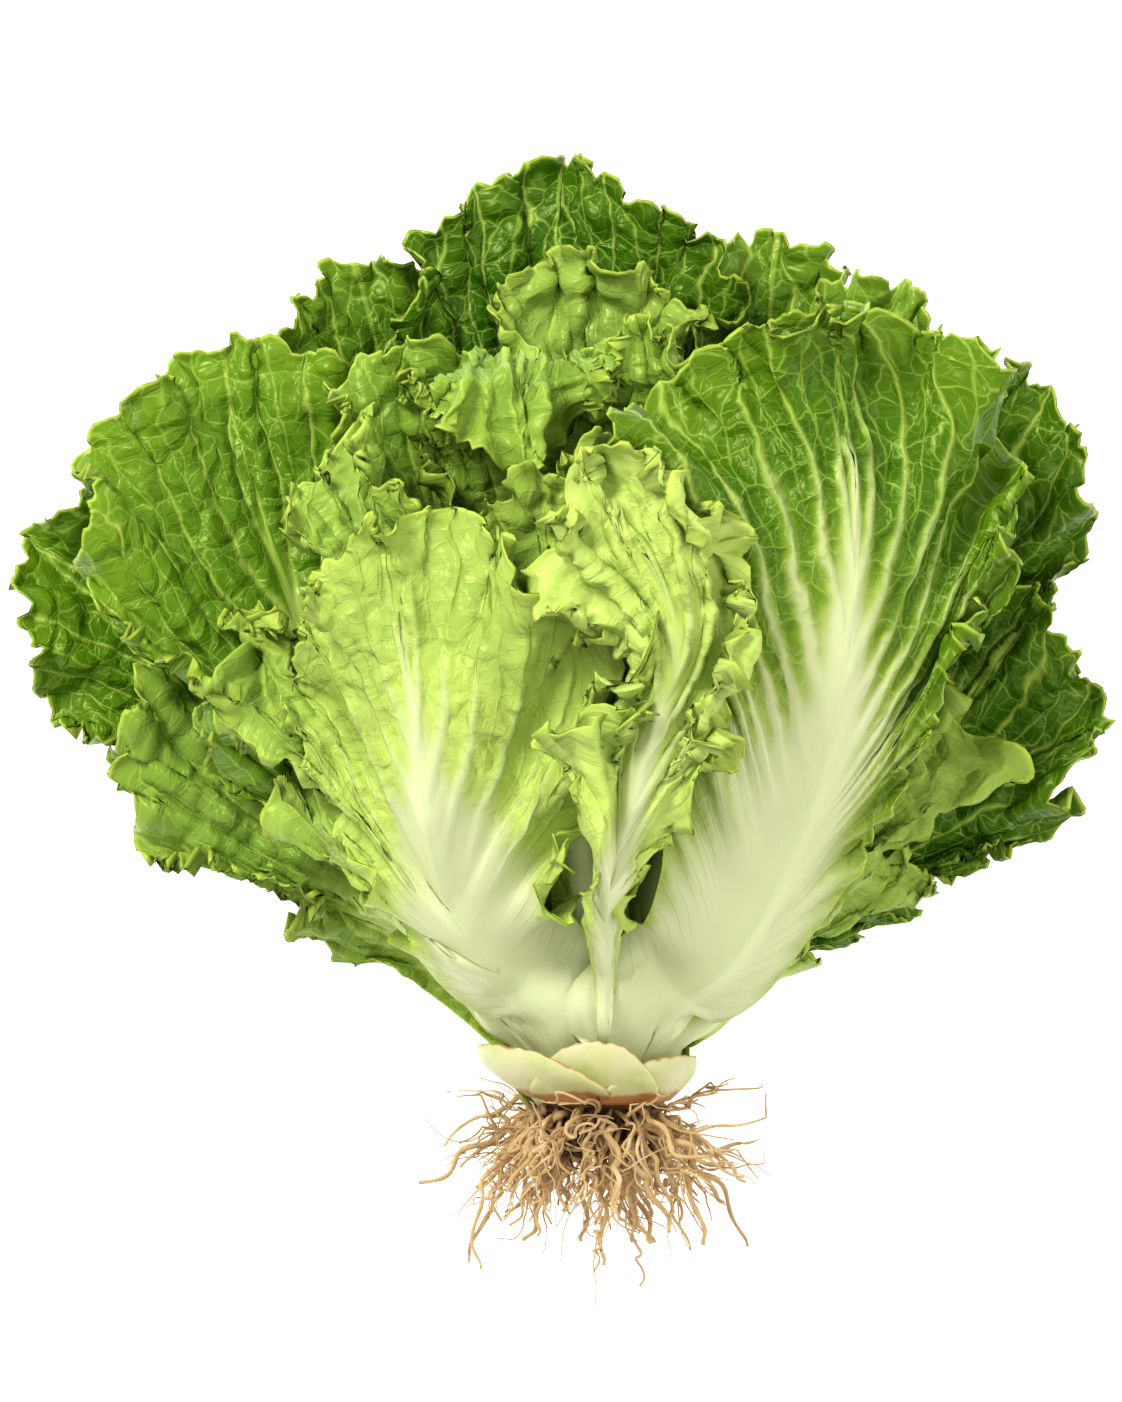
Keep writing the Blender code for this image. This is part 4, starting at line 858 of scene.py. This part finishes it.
    rim = between(tree, attribute["from_edge"], 0.0002, 0.0010, 0.65, 0.0)
    rim = maths(tree, "MULTIPLY", rim, between(tree, green, 0.1, 0.4))
    colour = blend_colours(tree, rim, colour, (0.56, 0.70, 0.08, 1))
    tree.links.new(colour, out["Colour"])

    gloss = maths(tree, "MULTIPLY_ADD", outer, 0.04, 0.22)
    tree.links.new(maths(tree, "MULTIPLY_ADD", patches, 0.14, gloss), out["Roughness"])

    # Relief in metres: veins up on the outer face and down on the inner, the blade puffed between
    side = maths(tree, "MULTIPLY_ADD", outer, 2.0, -1.0)
    relief = maths(tree, "MULTIPLY_ADD", vein, 0.0003, maths(tree, "MULTIPLY", fork, 0.0002))
    relief = maths(tree, "MULTIPLY_ADD", maths(tree, "MULTIPLY", cushion, blade), -0.0008, relief)
    puckers = add_node(tree, "TexNoise", Vector=warped.outputs[0], Scale=230.0, Detail=2.0).outputs["Fac"]
    puckered = maths(tree, "MULTIPLY", between(tree, green, 0.02, 0.25), between(tree, c, 0.03, 0.3))
    relief = maths(tree, "MULTIPLY_ADD", maths(tree, "MULTIPLY", puckers, puckered), 0.0008, relief)
    relief = maths(tree, "MULTIPLY_ADD", fine_net, 0.00008, relief)
    relief = maths(tree, "MULTIPLY", relief, side)
    fibre_spots = add_node(tree, "VectorMath", _0=flat.outputs[0], _1=(900.0, 60.0, 1.0))
    fibre_spots.operation = "MULTIPLY"
    fibres = add_node(tree, "TexNoise", Vector=fibre_spots.outputs[0], Scale=1.0, Detail=2.0).outputs["Fac"]
    near_rib = between(tree, maths(tree, "DIVIDE", off_rib, rib_width), 0.5, 3.0, 1.0, 0.1)
    relief = maths(tree, "MULTIPLY_ADD", maths(tree, "MULTIPLY", fibres, near_rib), 0.00018, relief)
    tree.links.new(relief, out["Height"])
    return tree


skin = leaf_skin()


def leaf_material(leaf):
    """A waxy, slightly see-through blade: light passes from face to face."""
    material = bpy.data.materials.new(leaf.name)
    material.use_nodes = True
    tree = material.node_tree
    shader = tree.nodes["Principled BSDF"]
    group = tree.nodes.new("ShaderNodeGroup")
    group.node_tree = skin
    group.inputs["Pale"].default_value = leaf.pale
    group.inputs["Dark"].default_value = leaf.dark
    group.inputs["Yellow"].default_value = leaf.yellow
    group.inputs["Spacing"].default_value = leaf.spacing
    group.inputs["Rib"].default_value = leaf.rib_size
    bump = add_node(tree, "Bump", Height=group.outputs["Height"], Distance=1.0, Strength=1.0)
    tree.links.new(group.outputs["Colour"], shader.inputs["Base Color"])
    tree.links.new(group.outputs["Roughness"], shader.inputs["Roughness"])
    tree.links.new(bump.outputs[0], shader.inputs["Normal"])
    shader.inputs["Specular IOR Level"].default_value = 0.36
    shader.inputs["Specular Tint"].default_value = (0.90, 1.0, 0.32, 1)
    glow = add_node(tree, "BsdfTranslucent", Color=group.outputs["Colour"], Normal=bump.outputs[0])
    both = add_node(tree, "MixShader", _0=0.18, _1=shader.outputs[0], _2=glow.outputs[0])
    tree.links.new(both.outputs[0], tree.nodes["Material Output"].inputs["Surface"])
    return material


# The stem.
# A short pale disc that carries every leaf, cut and rubbed brown where the roots begin.
STEM_PROFILE = ((-14, 0), (-14, 12), (-13, 16.2), (-10.5, 17), (-8, 16), (-5.5, 14), (-4.8, 9), (-4.5, 0))
STEM_SIDES = 20
FLESH_PROFILE = ((-14, 0), (-14, 10), (-13, 14), (-11, 16.6), (-8, 17.2), (-4, 17.6), (1, 17.2), (6, 15),
                 (9, 11), (10, 0))
FINE_STEM_SIDES = 96


def turned(profile, sides, ripple=0.0):
    """A solid turned round the plant's axis from (height, radius) pairs in millimetres."""
    profile = np.array(profile, float)
    angles = np.linspace(0, 2 * np.pi, sides, endpoint=False)[None, :]
    height = profile[:, :1] + 0 * angles
    radius = profile[:, 1:] * (1 + ripple * np.sin(3 * angles + profile[:, :1]))
    grid = np.stack([radius * np.sin(angles), height, radius * np.cos(angles)], axis=-1)
    return grid * MM + CROWN


def tube_faces(rings, sides):
    """Quads round a tube of rings, its ends closed onto their middles by rings of no width."""
    i, k = np.meshgrid(np.arange(rings - 1), np.arange(sides), indexing="ij")
    following = (k + 1) % sides
    a, b = i * sides + k, i * sides + following
    return np.stack([a, b, b + sides, a + sides], axis=-1).reshape(-1, 4)


coarse_stem = turned(STEM_PROFILE, STEM_SIDES)
quads = tube_faces(len(STEM_PROFILE), STEM_SIDES)
stem_triangles = np.vstack([quads[:, :3], quads[:, [0, 2, 3]]])
stem_spots, _ = samples_of(coarse_stem.reshape(-1, 3), stem_triangles)

coarse_heights, fine_heights = HeightMap(), HeightMap()
fine_columns = 1 - (1 - np.linspace(0, 1, len(FINE_STEPS))) ** FINE_CROWDING
for leaf in LOWER_LEAVES + UPPER_LEAVES:
    if leaf is UPPER_LEAVES[0]:
        coarse_heights.add(stem_spots, 0.0)
    sheet = Sheet(leaf)
    lay_on(coarse_heights, sheet)
    rows = FINE_ROWS * leaf.rows
    points, extras = leaf_surface(leaf, fine_columns, rows, 240, True)
    points[..., 2] = above_floor(points[..., 2])
    points[..., 2] += sheet.lift_at(np.linspace(0, 2, 2 * rows + 1), fine_columns)
    settle(fine_heights, leaf, points)
    fine_heights.add(points, 0.0)
    mesh = leaf_mesh(leaf, points, extras, rows, FINE_STEPS)
    place_piece(leaf.name, mesh, leaf_material(leaf), leaf.slot)


def plain_skin(name, colours, scale, roughness, relief):
    """A mottled matt skin of three colours."""
    material = bpy.data.materials.new(name)
    material.use_nodes = True
    tree = material.node_tree
    shader = tree.nodes["Principled BSDF"]
    place = add_node(tree, "TexCoord").outputs["Object"]
    noise = add_node(tree, "TexNoise", Vector=place, Scale=scale, Detail=5.0, Roughness=0.6).outputs["Fac"]
    first = blend_colours(tree, between(tree, noise, 0.3, 0.5), (*colours[0], 1), (*colours[1], 1))
    colour = blend_colours(tree, between(tree, noise, 0.5, 0.7), first, (*colours[2], 1))
    tree.links.new(colour, shader.inputs["Base Color"])
    shader.inputs["Roughness"].default_value = roughness
    bump = add_node(tree, "Bump", Height=noise, Distance=relief, Strength=1.0)
    tree.links.new(bump.outputs[0], shader.inputs["Normal"])
    return material


def dried_skin(name, colours, dried_colour):
    """Pale flesh that turns brown where the mesh says it has dried."""
    material = plain_skin(name, colours, 90.0, 0.4, 0.0002)
    tree = material.node_tree
    shader = tree.nodes["Principled BSDF"]
    made = add_node(tree, "Attribute")
    made.attribute_name = "dried"
    place = add_node(tree, "TexCoord").outputs["Object"]
    noise = add_node(tree, "TexNoise", Vector=place, Scale=210.0, Detail=4.0).outputs["Fac"]
    dried = maths(tree, "ADD", made.outputs["Fac"], maths(tree, "MULTIPLY_ADD", noise, 1.2, -0.6))
    flesh = shader.inputs["Base Color"].links[0].from_socket
    colour = blend_colours(tree, between(tree, dried, 0.30, 0.75), flesh, (*dried_colour, 1))
    tree.links.new(colour, shader.inputs["Base Color"])
    return material


stem_grid = turned(FLESH_PROFILE, FINE_STEM_SIDES)
stem_mesh = mesh_of("stem", stem_grid.reshape(-1, 3), tube_faces(len(FLESH_PROFILE), FINE_STEM_SIDES))
stem_height = (stem_grid[..., 1] - CROWN[1]) / MM
add_values(stem_mesh, "dried", smooth_step((-8.5 - stem_height) / 2).ravel())
stem_look = dried_skin("stem_pale", ((0.52, 0.55, 0.22), (0.60, 0.60, 0.28), (0.62, 0.60, 0.36)), (0.24, 0.11, 0.04))
place_piece("stem", stem_mesh, stem_look, "stem")

# The stubs.
# The thick pale bases of leaves that were pulled off, curved round the stem, torn and browned at the rim.
STUBS = (
    ("stub_front", -40, 33, -11.5, 4.4, 18.5, 27.5),
    ("stub_left", -122, 5, -11.0, 2.8, 17.2, 30.5),
    ("stub_right", 0, 112, -12.0, 0.2, 17.0, 24.5),
)
STUB_THICKNESS = 2.8
STUB_ARCH = 0.75


def stub_grid(azimuth_from, azimuth_to, low, high, foot, top):
    """The stub as one closed surface: up its outer face and down its inner one, [steps, columns]."""
    u = np.linspace(0, 1, 61)[:, None]
    v = np.linspace(0, 1, 25)[None, :]
    azimuth = np.radians(azimuth_from + (azimuth_to - azimuth_from) * u) + 0 * v
    torn = 1 + 0.03 * np.sin(7 * u + azimuth_from) + 0.012 * np.sin(29 * u) + 0.012 * np.sin(71 * u + 1)
    arch = (1 - STUB_ARCH * np.abs(2 * u - 1) ** 2.6) * torn
    height = low + (high - low) * arch * v
    bulge = foot + (top - foot) * np.sin(0.5 * np.pi * v)
    middle = np.sin(np.pi * np.clip(u, 0.02, 0.98))
    thickness = STUB_THICKNESS * (0.25 + 0.55 * middle) * (1 - 0.7 * v**2)
    faces = []
    for r in (bulge + thickness, bulge + 0 * thickness):
        faces.append(np.stack([r * np.sin(azimuth), height + 0 * azimuth, r * np.cos(azimuth)], axis=-1))
    around = np.concatenate([faces[0], faces[1][:, ::-1]], axis=1)
    ends = around.mean(axis=1, keepdims=True)
    closed = np.concatenate([ends[:1] + 0 * around[:1], around, ends[-1:] + 0 * around[-1:]], axis=0)
    return closed * MM + CROWN


stub_look = dried_skin("stub_pale", ((0.44, 0.50, 0.14), (0.56, 0.56, 0.24), (0.62, 0.57, 0.32)), (0.40, 0.17, 0.045))
for name, *size in STUBS:
    grid = stub_grid(*size)
    steps, columns = grid.shape[:2]
    mesh = mesh_of(name, grid.reshape(-1, 3), tube_faces(steps, columns))
    along = (grid[..., 1] - CROWN[1]) / MM
    row_top = along.max(axis=1, keepdims=True)
    rim = smooth_step((along - row_top + 1.1) / 1.0)
    foot = smooth_step((along.min() + 5.0 - along) / 5.0)
    add_values(mesh, "dried", np.clip(0.62 * rim + 1.1 * foot, 0, 1.2).ravel())
    place_piece(name, mesh, stub_look, "stub")

# The roots.
# A corky brown root crown under the stem, with a mop of tan fibrous roots that spread, bend and fork.
CORKY_PROFILE = ((-25, 0), (-23, 5), (-20, 8.5), (-17, 11), (-14, 13), (-12.4, 15.2), (-11.6, 15.6), (-11.6, 0))
ROOT_CROWN_RIPPLE = 0.06
MAIN_ROOTS = 30
BRANCHES = 16
ROOT_SEED = 5
ROOT_TURN = 2.399963
ROOT_LENGTH = (0.026, 0.042)
ROOT_RADIUS = (0.0009, 0.0015)
ROOT_LEANS = (12, 68)
ROOT_SIDEWAYS = 0.40
ROOT_RING = 0.009
ROOT_DEPTH = -0.017
ROOT_STEPS = 7
ROOT_BEND = 0.14
BRANCH_STEPS = 5
BRANCH_STEP = (0.0025, 0.0050)
ROOT_WIGGLE = 0.0009
EXTRA_ROOTS = 130
EXTRA_ROOT_LENGTH = (0.016, 0.040)
EXTRA_ROOT_RADIUS = (0.00050, 0.00110)
FINE_ROOTS = 260
FINE_ROOT_LENGTH = (0.012, 0.036)
FINE_ROOT_RADIUS = (0.00022, 0.00055)


def tube_grid(path, radii, sides):
    """Rings round a path, with a ring of no width at each end."""
    tangent = np.gradient(path, axis=0)
    tangent /= np.linalg.norm(tangent, axis=1, keepdims=True)
    first = np.cross(tangent, np.array([0.3, 0.2, 1.0]))
    first /= np.linalg.norm(first, axis=1, keepdims=True)
    second = np.cross(tangent, first)
    angles = np.linspace(0, 2 * np.pi, sides, endpoint=False)
    ring = first[:, None] * np.cos(angles)[None, :, None] + second[:, None] * np.sin(angles)[None, :, None]
    grid = path[:, None] + ring * np.asarray(radii)[:, None, None]
    ends = [path[:1, None] + 0 * grid[:1], grid, path[-1:, None] + 0 * grid[-1:]]
    return np.concatenate(ends)


def smoothed(path, radii, count):
    """A path and its radii on a smooth curve through the same points, with more of them."""
    fine, _ = curve_through(path, 2 * path[0] - path[1], 2 * path[-1] - path[-2], count)
    return fine, np.interp(np.linspace(0, 1, count), np.linspace(0, 1, len(radii)), radii)


def root_paths():
    """Paths and radii of the thick roots, as in the solids, then of the fine ones that leave them."""
    rng = np.random.default_rng(ROOT_SEED)
    thick = []
    for i in range(MAIN_ROOTS):
        ring = (i + 0.5) / MAIN_ROOTS
        azimuth = ROOT_TURN * i + rng.uniform(-0.2, 0.2)
        spread = np.sqrt(ring)
        reach = rng.uniform(*ROOT_LENGTH) * (1 + ROOT_SIDEWAYS * spread * np.sin(azimuth)**2)
        outward = np.array([np.sin(azimuth), 0, np.cos(azimuth)])
        lean = np.radians(ROOT_LEANS[0] + ROOT_LEANS[1] * spread)
        heading = np.cos(lean) * np.array([0, -1.0, 0]) + np.sin(lean) * outward
        path = [outward * ROOT_RING * spread + (0, ROOT_DEPTH, 0)]
        for _ in range(ROOT_STEPS - 1):
            heading = heading + (0, -ROOT_BEND, 0) + rng.normal(0, ROOT_BEND, 3)
            heading /= np.linalg.norm(heading)
            path.append(path[-1] + heading * reach / (ROOT_STEPS - 1))
        path = np.array(path)
        radii = rng.uniform(*ROOT_RADIUS) * np.linspace(1, 0.38, ROOT_STEPS) ** 1.1
        thick.append((path, radii))
        if i < BRANCHES:
            at = rng.integers(2, ROOT_STEPS - 2)
            side = heading + rng.normal(0, 0.8, 3)
            side /= np.linalg.norm(side)
            fork = [path[at]]
            for k in range(1, BRANCH_STEPS):
                fork.append(path[at] + side * k * rng.uniform(*BRANCH_STEP) + rng.normal(0, 0.6 * MM, 3))
            thick.append((np.array(fork), radii[at] * np.linspace(0.75, 0.35, BRANCH_STEPS)))
    for i in range(EXTRA_ROOTS):
        azimuth = ROOT_TURN * i + 1.0
        outward = np.array([np.sin(azimuth), 0, np.cos(azimuth)])
        lean = np.radians(rng.uniform(15, 75))
        heading = np.cos(lean) * np.array([0, -1.0, 0]) + np.sin(lean) * outward
        reach = rng.uniform(*EXTRA_ROOT_LENGTH)
        strand = [outward * rng.uniform(0.010, 0.0150) + (0, rng.uniform(-0.0170, -0.0115), 0)]
        for _ in range(ROOT_STEPS - 1):
            heading = heading + (0, -ROOT_BEND, 0) + rng.normal(0, 0.38, 3)
            heading /= np.linalg.norm(heading)
            strand.append(strand[-1] + heading * reach / (ROOT_STEPS - 1))
        thick.append((np.array(strand), rng.uniform(*EXTRA_ROOT_RADIUS) * np.linspace(1, 0.3, ROOT_STEPS)))
    fine = []
    for i in range(FINE_ROOTS):
        path, radii = thick[rng.integers(len(thick))]
        at = rng.integers(0, len(path) - 1)
        heading = path[at + 1] - path[at]
        heading = heading / np.linalg.norm(heading) + rng.normal(0, 0.55, 3)
        reach = rng.uniform(*FINE_ROOT_LENGTH) * (0.5 if at > 3 else 1.0)
        strand = [path[at]]
        for _ in range(7):
            heading = heading / np.linalg.norm(heading) + rng.normal(0, 0.30, 3)
            strand.append(strand[-1] + heading / np.linalg.norm(heading) * reach / 7)
        thickness = rng.uniform(*FINE_ROOT_RADIUS)
        fine.append((np.array(strand), thickness * np.linspace(1, 0.3, 8)))
    for strand, _ in thick + fine:
        spread = np.hypot(strand[:, 0], strand[:, 2])
        strand[:, 1] = np.minimum(strand[:, 1], -0.0125 + 0.30 * np.maximum(spread - 0.020, 0))
    return thick, fine


def shaded_from(grid):
    """How brown a root is: most within a few millimetres of the plant's axis and of its crown."""
    off = grid - CROWN - np.array([0, -0.016, 0])
    return 0.9 * (1 - smooth_step((np.linalg.norm(off, axis=-1) - 0.009) / 0.016))


def add_roots():
    """The root crown and all roots as one mesh."""
    thick, fine = root_paths()
    grids = [turned(CORKY_PROFILE, 96, ROOT_CROWN_RIPPLE)]
    shade = [np.ones(grids[0].shape[:2])]
    low, high = np.array(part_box("roots")[0]), np.array(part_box("roots")[1])
    for path, radii in thick:
        line, thickness = smoothed(path, radii, 34)
        steps = np.arange(34)[:, None]
        phase = path[0] * 4000 + (0.0, 2.0, 4.0)
        line = line + ROOT_WIGGLE * np.minimum(steps / 10, 1) * np.sin(steps * (0.62, 0.5, 0.56) + phase)
        knots = 1 + 0.12 * np.sin(np.arange(34) * 1.7 + path[0, 0] * 4000)
        grids.append(tube_grid(line + CROWN, thickness * knots, 8))
        shade.append(shaded_from(grids[-1]))
    for path, radii in fine:
        line, thickness = smoothed(path, radii, 22)
        grids.append(tube_grid(np.clip(line + CROWN, low - 0.004, high + 0.004), thickness, 5))
        shade.append(shaded_from(grids[-1]))
    vertices, faces, count = [], [], 0
    for grid in grids:
        faces.append(tube_faces(*grid.shape[:2]) + count)
        vertices.append(grid.reshape(-1, 3))
        count += len(vertices[-1])
    mesh = mesh_of("roots", np.vstack(vertices), np.vstack(faces))
    add_values(mesh, "dried", np.concatenate([part.ravel() for part in shade]))
    return mesh


root_look = dried_skin("root_tan", ((0.36, 0.20, 0.07), (0.52, 0.34, 0.14), (0.68, 0.49, 0.25)), (0.10, 0.04, 0.012))
root_look.node_tree.nodes["Principled BSDF"].inputs["Roughness"].default_value = 0.75
place_piece("roots", add_roots(), root_look, "root")

# The stage.
# A plain pale surface that the head lies on, soft light from above and the left, and the camera.
bpy.ops.mesh.primitive_plane_add(size=6.0, location=(0, 0, 0))
floor = bpy.context.object
floor.name = "floor"
floor_look = bpy.data.materials.new("floor_white")
floor_look.use_nodes = True
floor_look.node_tree.nodes["Principled BSDF"].inputs["Base Color"].default_value = (0.90, 0.90, 0.89, 1)
floor_look.node_tree.nodes["Principled BSDF"].inputs["Roughness"].default_value = 0.85
floor_look.node_tree.nodes["Principled BSDF"].inputs["Emission Color"].default_value = (1.0, 1.0, 1.0, 1)
floor_look.node_tree.nodes["Principled BSDF"].inputs["Emission Strength"].default_value = 0.70
floor.data.materials.append(floor_look)

world = bpy.data.worlds.new("studio")
world.use_nodes = True
world.node_tree.nodes["Background"].inputs["Color"].default_value = (1.0, 1.0, 1.0, 1)
world.node_tree.nodes["Background"].inputs["Strength"].default_value = 0.72
bpy.context.scene.world = world


def add_softbox(name, place, aim, size, power):
    """A square area light at place that looks at aim."""
    lamp = bpy.data.lights.new(name, "AREA")
    lamp.energy = power
    lamp.size = size
    light = bpy.data.objects.new(name, lamp)
    away = np.array(place) - np.array(aim)
    light.location = place
    light.rotation_euler = (np.arctan2(np.hypot(away[0], away[1]), away[2]), 0, np.arctan2(away[0], -away[1]))
    bpy.context.scene.collection.objects.link(light)


add_softbox("softbox_left", (-0.8, 0.9, 1.2), (0, 0, 0.05), 0.60, 30.0)
add_softbox("softbox_right", (1.2, 0.1, 1.2), (0, 0, 0.05), 1.0, 9.0)

FRAME_HEIGHT = 0.3505  # what the photograph's height spans on the plane at the head's middle
LENS, SENSOR = 100.0, 36.0
FRAME_CENTRE = (-0.00975, -0.01025, 0.075)
camera = bpy.data.objects.new("camera", bpy.data.cameras.new("camera"))
camera.data.lens = LENS
camera.data.sensor_width = SENSOR
camera.location = (FRAME_CENTRE[0], FRAME_CENTRE[1], FRAME_CENTRE[2] + FRAME_HEIGHT * LENS / SENSOR)
bpy.context.scene.collection.objects.link(camera)
bpy.context.scene.camera = camera
bpy.context.scene.view_settings.view_transform = "Standard"
